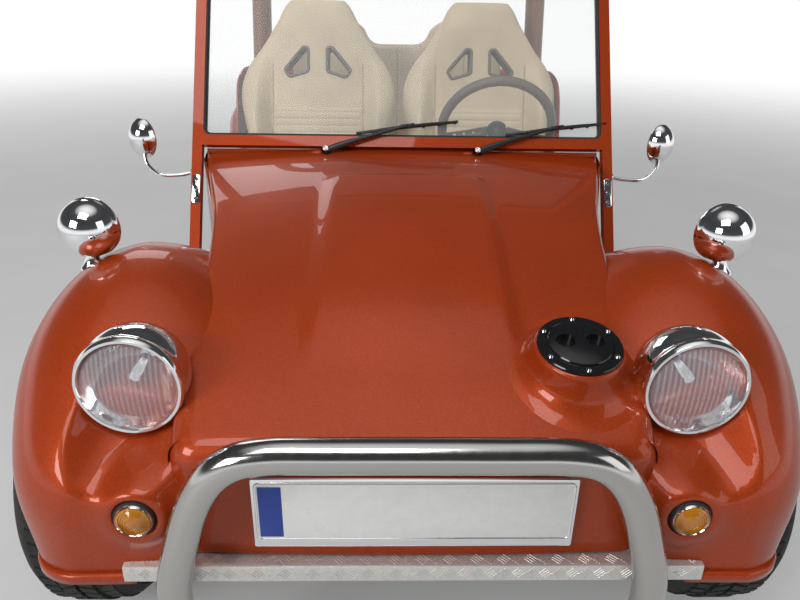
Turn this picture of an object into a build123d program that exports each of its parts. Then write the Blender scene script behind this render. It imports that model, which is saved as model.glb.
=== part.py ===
from build123d import *
import os
from math import atan2, cos, hypot, radians, sin

os.makedirs("parts", exist_ok=True)

# A full-size four-seat beach buggy on a rear-engined platform, in millimetres.
# +Z is up, the front is at -Y, the vehicle's own left (the driver's side) is at +X.
# The origin is on the ground under the middle of the whole vehicle.

# Driving dimensions: wheels
WHEELBASE = 2400
FRONT_AXLE_Y = -1235
REAR_AXLE_Y = FRONT_AXLE_Y + WHEELBASE
FRONT_TYRE_R = 317
FRONT_TYRE_W = 195
FRONT_WHEEL_X = 658
REAR_TYRE_R = 335
REAR_TYRE_W = 250
REAR_WHEEL_X = 690
RIM_R = 190

# Driving dimensions: body
SKIN = 6
NOSE_Y = -1640
SILL_Z = 300
FLOOR_Z = 205
PAN_HALF = 560
SCUTTLE_Y = -550
SCUTTLE_Z = 904
COWL_HALF = 603
RAKE = 28.6
FRONT_ARCH_R = 356
REAR_ARCH_R = 385
REAR_HALF = 840
DECK_Z = 985
OVERALL_Y = 1724

IND_X = 456
IND_Z = 510
LAMP_X = 480
LAMP_Y = -1560
LAMP_Z = 686

# Driving dimensions: cockpit
WHEEL_X = 305
WHEEL_Y = -320
WHEEL_Z = 893
STEER_RIM_R = 178
SEAT_X = 315
ROLL_BAR_R = 38
BULL_BAR_R = 30
KINGPIN_X = 585
FILLER_X = 289
FILLER_Y = -1490
FILLER_Z = 730
FILLER_TILT = 14


def keep(built, node):
    built.part.label = node
    export_step(built.part, f"parts/{node}.step")


def pipe(points, radius, bend):
    """Add a round bar along a filleted polyline to the part being built."""
    with BuildLine() as route:
        if len(points) == 2:
            Line(points[0], points[1])
        else:
            FilletPolyline(*points, radius=bend)
    with BuildSketch(Plane(origin=route.line @ 0, z_dir=route.line % 0)) as ring:
        Circle(radius)
    sweep(sections=ring.sketch, path=route.line)


def dished(mouth_r, mouth_y, pole_y, rim_y):
    """Half outline of a round cap whose dome is part of a sphere on the Y axis."""
    rise = abs(pole_y - mouth_y)
    ball = (mouth_r**2 + rise**2) / (2 * rise)
    way = 1 if pole_y > mouth_y else -1
    half = atan2(mouth_r, ball - rise) / 2
    middle = (ball * sin(half), pole_y - way * ball * (1 - cos(half)))
    with BuildLine() as outline:
        Polyline((0, pole_y), (0, rim_y), (mouth_r, rim_y), (mouth_r, mouth_y))
        ThreePointArc((mouth_r, mouth_y), middle, (0, pole_y))
    return outline.edges()


def largest(shape, count):
    """The biggest solids of a cut shape, without the slivers beside them."""
    return shape.solids().sort_by(SortBy.VOLUME)[-count:]


def mirrored(built, node):
    """The same piece on the other side of the centre plane."""
    with BuildPart() as other:
        mirror(built.part, about=Plane.YZ)
    keep(other, node)


# Outline of the tub seen from above, from the fender back to the tail
SIDE_FRONT_Y = -960
SIDE_REAR_Y = 1645


def tub_plan(inset):
    with BuildLine() as edge:
        Line((462 - inset, SIDE_FRONT_Y), (566 - inset, -605))
        ThreePointArc((566 - inset, -605), (606 - inset, -200), (632 - inset, 260))
        ThreePointArc((632 - inset, 260), (628 - inset, 900), (602 - inset, SIDE_REAR_Y))
        Polyline((602 - inset, SIDE_REAR_Y), (0, SIDE_REAR_Y), (0, SIDE_FRONT_Y), (462 - inset, SIDE_FRONT_Y))
    return edge.edges()


def tub_space(inset):
    with BuildPart() as space:
        with BuildSketch() as half:
            make_face(tub_plan(inset))
        extrude(half.sketch, amount=1300)
        mirror(about=Plane.YZ)
    return space.part


tub_outside = tub_space(0)
tub_inside = tub_space(SKIN)

# Hood and nose: one moulding, from cross-sections along the car
# columns: y, half width at the edge, edge height, crown height, foot height
HOOD_ROWS = [
    (-1640, 390, 596, 606, 432),
    (-1500, 396, 660, 668, 440),
    (-1240, 420, 762, 772, 560),
    (-1000, 455, 808, 826, 680),
    (-760, 520, 836, 862, 808),
    (-550, 572, 858, 876, 830),
]


def hood_section(half, edge, crown, foot, inset):
    low = foot - 40 * (inset > 0)
    with BuildLine() as outline:
        Polyline(
            (-half + inset, edge - inset), (-half + inset, low), (half - inset, low), (half - inset, edge - inset)
        )
        ThreePointArc(
            (-half + inset, edge - inset), (0, crown - inset), (half - inset, edge - inset)
        )
    return outline.edges()


with BuildPart() as hood_space:
    for y, half, edge, crown, foot in HOOD_ROWS:
        shift = SKIN if y == NOSE_Y else 0
        reach = 20 if y == SCUTTLE_Y else 0
        with BuildSketch(Plane.XZ.offset(-(y + shift + reach))):
            make_face(hood_section(half, edge, crown, foot, SKIN))
    loft()

# Raised centre panel of the hood, fading out towards the nose
# columns: hood row, rise over the skin
DOME_HALF = 197
DOME_BACK_Y = -803
DOME_ROWS = [(1, -5), (2, 10), (3, 11), (4, 11)]


def dome_section(half, edge, crown, rise):
    def skin(x):
        return crown - (crown - edge) * (x / half) ** 2

    wide, top = DOME_HALF + 10, DOME_HALF - 6
    with BuildLine() as outline:
        Polyline((-top, skin(top) + rise), (-wide, skin(wide) - 5), (-wide, skin(wide) - 14))
        Polyline((-wide, skin(wide) - 14), (wide, skin(wide) - 14), (wide, skin(wide) - 5), (top, skin(top) + rise))
        ThreePointArc((-top, skin(top) + rise), (0, crown + rise), (top, skin(top) + rise))
    return outline.edges()


with BuildPart() as dome:
    for row, rise in DOME_ROWS:
        y, half, edge, crown, foot = HOOD_ROWS[row]
        with BuildSketch(Plane.XZ.offset(-y)):
            make_face(dome_section(half, edge, crown, rise))
    loft()
    with BuildSketch():
        with Locations((0, DOME_BACK_Y - 400)):
            RectangleRounded(2 * DOME_HALF + 12, 800, 38)
    extrude(amount=1000, mode=Mode.INTERSECT)

filler_plane = Plane(
    origin=(FILLER_X, FILLER_Y, FILLER_Z),
    x_dir=(1, 0, 0),
    z_dir=(0, -sin(radians(FILLER_TILT)), cos(radians(FILLER_TILT))),
)
with BuildPart() as hood:
    for y, half, edge, crown, foot in HOOD_ROWS:
        with BuildSketch(Plane.XZ.offset(-y)):
            make_face(hood_section(half, edge, crown, foot, 0))
    loft()
    nose_edges = hood.edges().filter_by_position(Axis.Y, NOSE_Y - 1, NOSE_Y + 1).filter_by_position(Axis.Z, 500, 640)
    fillet(nose_edges, 34)
    add(dome.part)
    with BuildSketch(filler_plane.offset(-95)):
        Circle(88)
    extrude(amount=95, taper=5)
    add(hood_space.part, mode=Mode.SUBTRACT)
keep(hood, "hood")

# Space taken by one headlamp bowl
with BuildPart() as lamp_ball:
    with BuildSketch():
        make_face(dished(98, 5, 130, -200))
    revolve(axis=Axis.Y)

# Front fenders: radial sections around the axle
# columns: angle from the rear, crown radius, valley dip at the inner edge, crest x, outer x
FRONT_FENDER_ROWS = [
    (167, 440, 10, 560, 640),
    (152, 470, 22, 560, 690),
    (132, 450, 36, 565, 728),
    (110, 460, 46, 572, 742),
    (90, 478, 60, 575, 745),
    (60, 480, 50, 570, 742),
    (30, 480, 20, 550, 712),
    (4, 480, 4, 540, 640),
]
FENDER_IN_X = 392


def fender_section(inner_x, crown, dip, crest, outer, arch):
    """Thin skin: valley rising to the crest, rounded shoulder, down to the arch lip."""
    a = (inner_x, crown - dip)
    m = ((inner_x + crest) / 2, crown - dip / 4)
    b = (crest, crown)
    d = (outer, arch)
    run = hypot(d[0] - b[0], d[1] - b[1])
    sag = 0.13 * run
    c = ((b[0] + d[0]) / 2 - sag * (d[1] - b[1]) / run, (b[1] + d[1]) / 2 + sag * (d[0] - b[0]) / run)
    t = SKIN
    with BuildLine() as outline:
        ThreePointArc(a, m, b)
        ThreePointArc(b, c, d)
        Line(d, (d[0] - t, d[1]))
        ThreePointArc((d[0] - t, d[1]), (c[0] - 0.7 * t, c[1] - 0.7 * t), (b[0], b[1] - t))
        ThreePointArc((b[0], b[1] - t), (m[0], m[1] - t), (a[0], a[1] - t))
        Line((a[0], a[1] - t), a)
    return outline.edges()


def radial_plane(axle_y, axle_z, angle):
    c, s = cos(radians(angle)), sin(radians(angle))
    return Plane(origin=(0, axle_y, axle_z), x_dir=(1, 0, 0), z_dir=(0, -s, c))


with BuildPart() as front_fender:
    for angle, crown, dip, crest, outer in FRONT_FENDER_ROWS:
        with BuildSketch(radial_plane(FRONT_AXLE_Y, FRONT_TYRE_R, angle)):
            make_face(fender_section(FENDER_IN_X, crown, dip, crest, outer, FRONT_ARCH_R))
    loft()
with BuildPart() as front_fender_left:
    add(front_fender.part)
    add(hood_space.part, mode=Mode.SUBTRACT)
    add(hood.part, mode=Mode.SUBTRACT)
    with BuildSketch(Plane.XZ.offset(1632)):
        with Locations((IND_X, IND_Z)):
            Circle(50)
    extrude(amount=30, taper=8)
    with BuildSketch(Plane.XZ.offset(1750)):
        with Locations((IND_X, IND_Z)):
            Circle(34.5)
    extrude(amount=-200, mode=Mode.SUBTRACT)
    with Locations((LAMP_X, LAMP_Y, LAMP_Z)):
        add(lamp_ball.part, mode=Mode.SUBTRACT)
keep(front_fender_left, "front_fender_left")
mirrored(front_fender_left, "front_fender_right")

# Rear fenders
# columns: angle from the rear, crown radius, valley dip at the inner edge, crest x, outer x
REAR_FENDER_ROWS = [
    (176, 470, 3, 650, 690),
    (150, 472, 6, 670, 790),
    (120, 475, 8, 690, 836),
    (90, 478, 8, 700, REAR_HALF),
    (55, 470, 8, 690, 836),
    (22, 455, 5, 670, 800),
]
SIDE_IN_X = 590
with BuildPart() as rear_fender_left:
    for angle, crown, dip, crest, outer in REAR_FENDER_ROWS:
        with BuildSketch(radial_plane(REAR_AXLE_Y, REAR_TYRE_R, angle)):
            make_face(fender_section(SIDE_IN_X, crown, dip, crest, outer, REAR_ARCH_R))
    loft()
    add(tub_outside, mode=Mode.SUBTRACT)
keep(rear_fender_left, "rear_fender_left")
mirrored(rear_fender_left, "rear_fender_right")

# Cockpit sides: the tub wall cut to the step-in outline, with the inner wheel arch
WELL_X = 545
with BuildPart() as inner_arch:
    for depth, hole in ((SKIN, 0), (120, REAR_ARCH_R)):
        with BuildSketch(Plane.YZ.offset(WELL_X)):
            with Locations((REAR_AXLE_Y, REAR_TYRE_R)):
                Circle(REAR_ARCH_R + SKIN)
                if hole:
                    Circle(hole, mode=Mode.SUBTRACT)
            with Locations((REAR_AXLE_Y, 0)):
                Rectangle(1000, 2 * 440, mode=Mode.SUBTRACT)
        extrude(amount=depth)
    add(tub_outside, mode=Mode.INTERSECT)
with BuildPart() as side_wall:
    with BuildSketch(Plane.YZ.offset(300)):
        with BuildLine():
            Polyline(
                (1420, 780), (SIDE_REAR_Y, 640), (SIDE_REAR_Y, 590), (1480, 590), (REAR_AXLE_Y - 480, SILL_Z),
                (SIDE_FRONT_Y, SILL_Z), (SIDE_FRONT_Y, 806), (-760, 834), (-550, 856), (-470, 858),
            )
            Spline((-470, 858), (-360, 640), (-100, 560), tangents=((0.6, -0.8), (1, 0)))
            Spline((-100, 560), (60, 640), (190, 900), (420, DECK_Z + 15), tangents=((1, 0), (1, 0.05)))
            Polyline((420, DECK_Z + 15), (1000, DECK_Z - 5), (1420, 780))
        make_face()
    extrude(amount=460)
    add(tub_outside, mode=Mode.INTERSECT)
    add(tub_inside, mode=Mode.SUBTRACT)
    with BuildSketch(Plane.YZ.offset(380)):
        with Locations((FRONT_AXLE_Y, FRONT_TYRE_R)):
            Circle(481)
    extrude(amount=400, mode=Mode.SUBTRACT)
    with BuildSketch(Plane.YZ.offset(WELL_X)):
        with Locations((REAR_AXLE_Y, REAR_TYRE_R)):
            Circle(REAR_ARCH_R)
    extrude(amount=400, mode=Mode.SUBTRACT)
    add(inner_arch.part)
    add(front_fender.part, mode=Mode.SUBTRACT)
    add(hood.part, mode=Mode.SUBTRACT)
with BuildPart() as side_left:
    add(largest(side_wall.part, 1))
keep(side_left, "side_left")
mirrored(side_left, "side_right")

# Rear tub: bench base, wall behind the bench and the deck over the engine bay
with BuildPart() as rear_tub:
    with BuildSketch(Plane.YZ):
        with BuildLine():
            tub_line = FilletPolyline(
                (310, FLOOR_Z + 4), (310, 430), (822, 430), (822, DECK_Z - 20), (1000, DECK_Z - 25), (1300, 880),
                (1330, 820), radius=(20, 20, 30, 200, 24),
            )
            offset(tub_line, SKIN, side=Side.RIGHT)
        make_face()
    extrude(amount=640, both=True)
    add(tub_inside, mode=Mode.INTERSECT)
    for side_wall in (side_left.part, side_left.part.mirror(Plane.YZ)):
        add(side_wall, mode=Mode.SUBTRACT)
    for side in (-1, 1):
        with Locations((side * (PAN_HALF + 50), 310, SILL_Z / 2)):
            Box(100, 40, SILL_Z, mode=Mode.SUBTRACT)
keep(rear_tub, "rear_tub")

# Front axle: two torsion tubes, uprights and trailing arms
BEAM_Y = -1365
BEAM_LOW_Z = 240
BEAM_HIGH_Z = 396
BEAM_END_X = 440
with BuildPart() as front_axle:
    for z in (BEAM_LOW_Z, BEAM_HIGH_Z):
        with BuildSketch(Plane.YZ.offset(-BEAM_END_X)):
            with Locations((BEAM_Y, z)):
                Circle(26)
        extrude(amount=2 * BEAM_END_X)
    for x in (-330, -85, 85, 330):
        with Locations((x, BEAM_Y, (BEAM_LOW_Z + BEAM_HIGH_Z) / 2)):
            Box(16, 90, 190)
    for side in (-1, 1):
        for z in (BEAM_LOW_Z, BEAM_HIGH_Z):
            pipe([(side * (BEAM_END_X - 15), BEAM_Y, z), (side * KINGPIN_X, FRONT_AXLE_Y, z)], 15, 0)
            with Locations((side * KINGPIN_X, FRONT_AXLE_Y, z)):
                Cylinder(22, 30)
                Cylinder(10.05, 40, mode=Mode.SUBTRACT)
        with Locations((side * 330, BEAM_Y + 22, 480)):
            Box(16, 64, 160)
        pipe([(side * 372, BEAM_Y + 56, 262), (side * 372, BEAM_Y + 36, 400)], 19, 0)
        pipe([(side * 372, BEAM_Y + 36, 400), (side * 372, BEAM_Y + 18, 530)], 26, 0)
        for y, z in ((BEAM_Y + 56, 266), (BEAM_Y + 18, 524)):
            pipe([(side * 322, y, z), (side * 386, y, z)], 9, 0)
keep(front_axle, "front_axle")

# Knuckles with kingpin, spindle, backing plate and steering arm
SPINDLE_R = 16
ARM_Y = -1112
ARM_Z = 360
for side, node in ((1, "knuckle_left"), (-1, "knuckle_right")):
    with BuildPart() as knuckle:
        with Locations((side * KINGPIN_X, FRONT_AXLE_Y, (BEAM_LOW_Z + BEAM_HIGH_Z) / 2)):
            Cylinder(10, BEAM_HIGH_Z - BEAM_LOW_Z + 30)
            Box(34, 46, BEAM_HIGH_Z - BEAM_LOW_Z - 40)
        with BuildSketch(Plane.YZ.offset(side * KINGPIN_X)):
            with Locations((FRONT_AXLE_Y, FRONT_TYRE_R)):
                Circle(SPINDLE_R)
        extrude(amount=side * 105)
        with BuildSketch(Plane.YZ.offset(side * (KINGPIN_X + 30))):
            with Locations((FRONT_AXLE_Y, FRONT_TYRE_R)):
                Circle(118)
        extrude(amount=side * 4)
        pipe(
            [(side * KINGPIN_X, FRONT_AXLE_Y + 10, ARM_Z), (side * (KINGPIN_X - 30), ARM_Y, ARM_Z)], 11, 0
        )
        with Locations((side * (KINGPIN_X - 30), ARM_Y, ARM_Z)):
            Cylinder(17, 24)
    keep(knuckle, node)

# Track rods: slide across as the wheels steer
with BuildPart() as track_rods:
    rod_z = ARM_Z - 34
    pipe([(-KINGPIN_X + 30, ARM_Y, rod_z), (KINGPIN_X - 30, ARM_Y, rod_z)], 10, 0)
    for side in (-1, 1):
        with Locations((side * (KINGPIN_X - 30), ARM_Y, rod_z)):
            Cylinder(15, 28)
keep(track_rods, "track_rods")


# Wheels and tyres
def wheel_at(node, axle_y, x, tyre_r, tyre_w, side, bore):
    """Rim with an eight-window dish, brake drum and hub, then its tyre."""
    half = tyre_w / 2 - 12
    face = half - 45
    with BuildPart() as wheel:
        with BuildSketch(Plane.XY):
            with BuildLine():
                Polyline(
                    (-half, RIM_R + 14), (-half, RIM_R - 12), (-half + 22, RIM_R - 18), (half - 22, RIM_R - 18),
                    (half, RIM_R - 12), (half, RIM_R + 14), (half - 5, RIM_R + 14), (half - 6, RIM_R - 4),
                    (half - 24, RIM_R - 12), (-half + 24, RIM_R - 12), (-half + 6, RIM_R - 4),
                    (-half + 5, RIM_R + 14), (-half, RIM_R + 14),
                )
            make_face()
            with BuildLine():
                Polyline(
                    (face, RIM_R - 14), (face + 12, 120), (face + 2, 70), (face + 2, bore), (face - 8, bore),
                    (face - 8, 70), (face + 2, 120), (face - 10, RIM_R - 14), (face, RIM_R - 14),
                )
            make_face()
        revolve(axis=Axis.X)
        with BuildSketch(Plane.YZ.offset(face - 30)):
            with PolarLocations(138, 8):
                RectangleRounded(44, 62, 14)
        extrude(amount=60, mode=Mode.SUBTRACT)
        with BuildSketch(Plane.YZ.offset(face - 62)):
            Circle(130)
            Circle(122, mode=Mode.SUBTRACT)
        extrude(amount=56)
        with BuildSketch(Plane.YZ.offset(face - 12)):
            Circle(130)
            Circle(bore, mode=Mode.SUBTRACT)
        extrude(amount=6)
        with BuildSketch(Plane.YZ.offset(face - 40)):
            Circle(34)
            Circle(bore, mode=Mode.SUBTRACT)
        extrude(amount=70)
        with BuildSketch(Plane.YZ.offset(face + 24)):
            Circle(34)
        extrude(amount=6)
    turned = wheel.part if side > 0 else wheel.part.mirror(Plane.YZ)
    with BuildPart() as placed:
        add(Pos(x * side, axle_y, tyre_r) * turned)
    keep(placed, f"wheel_{node}")
    half_t = tyre_w / 2
    with BuildPart() as tyre:
        with BuildSketch(Plane.XY):
            with BuildLine():
                Polyline((-half + 6, RIM_R - 3.8), (-half + 6, RIM_R + 14), (-half_t + 8, RIM_R + 34))
                ThreePointArc(
                    (-half_t + 8, RIM_R + 34), (-half_t, (RIM_R + tyre_r) / 2 + 10), (-half_t + 26, tyre_r - 12)
                )
                Polyline((-half_t + 26, tyre_r - 12), (-half_t + 46, tyre_r - 2), (0, tyre_r))
                Polyline((0, tyre_r), (half_t - 46, tyre_r - 2), (half_t - 26, tyre_r - 12))
                ThreePointArc(
                    (half_t - 26, tyre_r - 12), (half_t, (RIM_R + tyre_r) / 2 + 10), (half_t - 8, RIM_R + 34)
                )
                Polyline((half_t - 8, RIM_R + 34), (half - 6, RIM_R + 14), (half - 6, RIM_R - 3.8))
                Polyline(
                    (half - 6, RIM_R - 3.8), (half - 10, RIM_R + 8), (-half + 10, RIM_R + 8), (-half + 6, RIM_R - 3.8)
                )
            make_face()
        revolve(axis=Axis.X)
    with BuildPart() as shod:
        add(Pos(x * side, axle_y, tyre_r) * tyre.part)
    keep(shod, f"tyre_{node}")


for side, name in ((1, "left"), (-1, "right")):
    wheel_at(f"front_{name}", FRONT_AXLE_Y, FRONT_WHEEL_X, FRONT_TYRE_R, FRONT_TYRE_W, side, SPINDLE_R + 0.05)
    wheel_at(f"rear_{name}", REAR_AXLE_Y, REAR_WHEEL_X, REAR_TYRE_R, REAR_TYRE_W, side, SPINDLE_R + 0.05)

# Rear axle: gearbox, axle tubes, torsion tube and spring plates
with BuildPart() as rear_axle:
    with BuildSketch(Plane.XZ.offset(-900)):
        with Locations((0, REAR_TYRE_R)):
            RectangleRounded(230, 240, 70)
    extrude(amount=-420)
    with BuildSketch(Plane.XZ.offset(-1180)):
        with Locations((0, REAR_TYRE_R)):
            Circle(190)
    extrude(amount=-140)
    with BuildSketch(Plane.YZ.offset(-570)):
        with Locations((REAR_AXLE_Y, REAR_TYRE_R)):
            Circle(36)
    extrude(amount=1140)
    with BuildSketch(Plane.YZ.offset(-570)):
        with Locations((REAR_AXLE_Y - 360, 320)):
            Circle(40)
    extrude(amount=1140)
    for side in (-1, 1):
        with Locations((side * 520, REAR_AXLE_Y - 180, 328)):
            Box(12, 400, 70)
        with BuildSketch(Plane.YZ.offset(side * 566)):
            with Locations((REAR_AXLE_Y, REAR_TYRE_R)):
                Circle(116)
        extrude(amount=side * 4)
        with BuildSketch(Plane.YZ.offset(side * 560)):
            with Locations((REAR_AXLE_Y, REAR_TYRE_R)):
                Circle(SPINDLE_R)
        extrude(amount=side * 175)
        pipe([(side * 488, REAR_AXLE_Y - 150, 330), (side * 488, REAR_AXLE_Y - 120, 470)], 19, 0)
        pipe([(side * 488, REAR_AXLE_Y - 120, 470), (side * 488, REAR_AXLE_Y - 90, 610)], 27, 0)
        pipe([(side * 480, REAR_AXLE_Y - 90, 604), (side * WELL_X, REAR_AXLE_Y - 90, 604)], 10, 0)
keep(rear_axle, "rear_axle")

# Floor pan with its backbone tunnel, frame head and rear fork
TUNNEL_HALF = 62
TUNNEL_Z = 338
with BuildPart() as floor_pan:
    with BuildSketch(Plane.XY.offset(FLOOR_Z)):
        with BuildLine():
            Polyline(
                (-300, -900), (300, -900), (PAN_HALF, -800), (PAN_HALF, 640), (300, 760), (-300, 760),
                (-PAN_HALF, 640), (-PAN_HALF, -800), (-300, -900),
            )
        make_face()
    extrude(amount=4)
    for y0, y1, top in ((-1338, -950, 296), (-950, 700, TUNNEL_Z)):
        with BuildSketch(Plane.XY.offset(FLOOR_Z)):
            with Locations((0, (y0 + y1) / 2)):
                Rectangle(2 * TUNNEL_HALF, y1 - y0)
        extrude(amount=top - FLOOR_Z)
    for side in (-1, 1):
        with BuildSketch(Plane.XY.offset(FLOOR_Z - 20)):
            with Locations((side * (PAN_HALF - 20), -80)):
                Rectangle(60, 1440)
        extrude(amount=70)
        pipe([(side * 60, 700, 250), (side * 190, 900, 250), (side * 190, 1010, 250)], 30, 60)
    add(rear_tub.part, mode=Mode.SUBTRACT)
    add(rear_axle.part, mode=Mode.SUBTRACT)
    add(front_axle.part, mode=Mode.SUBTRACT)
keep(floor_pan, "floor_pan")

# Engine: flat-four with finned barrels, heads and valve covers
ENGINE_Y = 1322
ENGINE_Z = 335
with BuildPart() as engine:
    with BuildSketch(Plane.XZ.offset(-ENGINE_Y)):
        with Locations((0, ENGINE_Z)):
            RectangleRounded(190, 250, 60)
    extrude(amount=-300)
    for side in (-1, 1):
        for y in (ENGINE_Y + 85, ENGINE_Y + 215):
            with BuildSketch(Plane.YZ.offset(side * 90)):
                with Locations((y, ENGINE_Z)):
                    Circle(46)
            extrude(amount=side * 130)
            for fin in range(6):
                with BuildSketch(Plane.YZ.offset(side * (110 + fin * 16))):
                    with Locations((y, ENGINE_Z)):
                        Circle(62)
                extrude(amount=side * 5)
        with Locations((side * 255, ENGINE_Y + 150, ENGINE_Z)):
            Box(80, 290, 120)
        with Locations((side * 312, ENGINE_Y + 150, ENGINE_Z - 5)):
            Box(40, 270, 80)
    with BuildSketch(Plane.XZ.offset(-(ENGINE_Y + 300))):
        with Locations((0, ENGINE_Z - 10)):
            Circle(82)
            Circle(60, mode=Mode.SUBTRACT)
    extrude(amount=-26)
    with BuildSketch(Plane.XZ.offset(-(ENGINE_Y + 300))):
        with Locations((0, ENGINE_Z - 10)):
            Circle(61)
    extrude(amount=-12)
    for side in (-1, 1):
        pipe([(side * 250, ENGINE_Y + 218, 390), (side * 250, ENGINE_Y + 218, 480)], 22, 0)
        with Locations((side * 250, ENGINE_Y + 218, 508)):
            Box(64, 74, 60)
        with BuildSketch(Plane.XY.offset(538)):
            with Locations((side * 250, ENGINE_Y + 218)):
                Circle(58)
        extrude(amount=8)
        with BuildSketch(Plane.XY.offset(546)):
            with Locations((side * 250, ENGINE_Y + 218)):
                Circle(52)
        extrude(amount=44)
        with BuildSketch(Plane.XY.offset(590)):
            with Locations((side * 250, ENGINE_Y + 218)):
                Circle(58)
        extrude(amount=12, taper=30)
keep(engine, "engine")

# Fan shroud with generator
with BuildPart() as fan_shroud:
    with BuildSketch(Plane.XZ.offset(-(ENGINE_Y + 20))):
        with BuildLine():
            Polyline((-330, 430), (-330, 470), (-190, 560), (-190, 600))
            RadiusArc((-190, 600), (190, 600), 192)
            Polyline((190, 600), (190, 560), (330, 470), (330, 430), (-330, 430))
        make_face()
    extrude(amount=-130)
    add(engine.part, mode=Mode.SUBTRACT)
    with BuildSketch(Plane.XZ.offset(-(ENGINE_Y + 150))):
        with Locations((0, 600)):
            Circle(52)
    extrude(amount=-110)
    with BuildSketch(Plane.XZ.offset(-(ENGINE_Y + 258))):
        with Locations((0, 600)):
            Circle(58)
    extrude(amount=-22)
    with Locations((0, ENGINE_Y + 200, 507)):
        Box(60, 80, 92)
keep(fan_shroud, "fan_shroud")

# Exhaust: collector, silencer and tail pipe with its collar
SILENCER_Y = 1625
SILENCER_Z = 186
TAIL_PIPE_X = 230
TAIL_PIPE_R = 24
with BuildPart() as exhaust:
    with BuildSketch(Plane.YZ.offset(-300)):
        with Locations((SILENCER_Y, SILENCER_Z)):
            Circle(50)
    extrude(amount=600)
    for side in (-1, 1):
        pipe(
            [(side * 262, ENGINE_Y + 200, 290), (side * 262, ENGINE_Y + 200, 196), (side * 262, SILENCER_Y, 190)],
            20, 24,
        )
    for start, end, radius in ((SILENCER_Y, 1680, TAIL_PIPE_R + 8), (SILENCER_Y, 1720, TAIL_PIPE_R)):
        with BuildSketch(Plane.XZ.offset(-start)):
            with Locations((TAIL_PIPE_X, SILENCER_Z)):
                Circle(radius)
        extrude(amount=start - end)
    with BuildSketch(Plane.XZ.offset(-1720)):
        with Locations((TAIL_PIPE_X, SILENCER_Z)):
            Circle(TAIL_PIPE_R - 2)
    extrude(amount=30, mode=Mode.SUBTRACT)
    add(engine.part, mode=Mode.SUBTRACT)
keep(exhaust, "exhaust")

# Rear bumper: bent tube on two stays
with BuildPart() as rear_bumper:
    end_y = OVERALL_Y - 25
    pipe(
        [(-480, 1470, 470), (-480, end_y, 470), (480, end_y, 470), (480, 1470, 470)], 25, 150
    )
    for side in (-1, 1):
        pipe([(side * 480, 1520, 470), (side * 580, 1520, 630)], 14, 0)
        with Locations((side * 587, 1520, 636)):
            Box(20, 90, 60)
    for side_wall in (side_left.part, side_left.part.mirror(Plane.YZ)):
        add(side_wall, mode=Mode.SUBTRACT)
keep(rear_bumper, "rear_bumper")

# Tail lamps
TAIL_X = 700
TAIL_Z = 640
with BuildPart() as lamp_stubs:
    for side in (-1, 1):
        with BuildSketch(Plane.XZ.offset(-1480)):
            with Locations((side * TAIL_X, TAIL_Z)):
                Circle(48)
        extrude(amount=-62)
        with BuildSketch(Plane.XZ.offset(-1542)):
            with Locations((side * TAIL_X, TAIL_Z)):
                Circle(44)
        extrude(amount=-14, taper=35)
    for fender in (rear_fender_left.part, rear_fender_left.part.mirror(Plane.YZ)):
        add(fender, mode=Mode.SUBTRACT)
with BuildPart() as tail_lamps:
    add(largest(lamp_stubs.part, 2))
keep(tail_lamps, "tail_lamps")

# Steering column line, from the wheel's hub down to the steering box
column_foot = Vector(265, -1290, 432)
wheel_hub = Vector(WHEEL_X, WHEEL_Y, WHEEL_Z)
column_dir = (wheel_hub - column_foot).normalized()

# Dashboard
with BuildPart() as dashboard:
    with BuildSketch(Plane.YZ):
        with BuildLine():
            Polyline((-560, 872), (-470, 866), (-430, 830), (-450, 700), (-462, 700), (-446, 826), (-476, 852),
                     (-560, 860), (-560, 872))
        make_face()
    extrude(amount=640, both=True)
    add(tub_inside, mode=Mode.INTERSECT)
    add(hood.part, mode=Mode.SUBTRACT)
    with BuildSketch(Plane(origin=wheel_hub - column_dir * 60, z_dir=-column_dir)):
        Circle(32)
    extrude(amount=400, mode=Mode.SUBTRACT)
keep(dashboard, "dashboard")

# Windscreen frame and glass, in the raked plane
screen_plane = Plane(
    origin=(0, SCUTTLE_Y, SCUTTLE_Z), x_dir=(1, 0, 0), z_dir=(0, -cos(radians(RAKE)), sin(radians(RAKE)))
)
SCREEN_H = 478
POST_LOW = -335
RAIL = 30
with BuildPart() as windscreen_frame:
    with BuildSketch(screen_plane):
        with Locations((0, (SCREEN_H - 28) / 2)):
            RectangleRounded(2 * COWL_HALF, SCREEN_H + 28, 26)
            RectangleRounded(2 * COWL_HALF - 2 * RAIL, SCREEN_H + 28 - 2 * RAIL, 20, mode=Mode.SUBTRACT)
    extrude(amount=13, both=True)
    for side in (-1, 1):
        with BuildSketch(screen_plane):
            with Locations((side * (COWL_HALF - RAIL / 2 + 1), POST_LOW / 2)):
                Rectangle(RAIL - 2, -POST_LOW + 60)
        extrude(amount=13, both=True)
    add(side_left.part, mode=Mode.SUBTRACT)
    add(side_left.part.mirror(Plane.YZ), mode=Mode.SUBTRACT)
    add(hood.part, mode=Mode.SUBTRACT)
keep(windscreen_frame, "windscreen_frame")
with BuildPart() as windscreen_glass:
    with BuildSketch(screen_plane):
        with Locations((0, (SCREEN_H - 28) / 2)):
            RectangleRounded(2 * (COWL_HALF - RAIL) - 1, SCREEN_H - RAIL - 3, 19)
    extrude(amount=3, both=True)
keep(windscreen_glass, "windscreen_glass")

# Wipers on the scuttle
with BuildPart() as wipers:
    for x in (-221, 210):
        with BuildSketch(Plane.XY.offset(870)):
            with Locations((x, -592)):
                Circle(12)
        extrude(amount=32)
        pipe([(x, -592, 898), (x + 240, -568, 922)], 4, 0)
        pipe([(x + 60, -572, 914), (x + 378, -562, 940)], 5, 0)
        with Locations((x + 236, -568, 924)):
            Box(20, 12, 14)
    add(hood.part, mode=Mode.SUBTRACT)
keep(wipers, "wipers")

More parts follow.
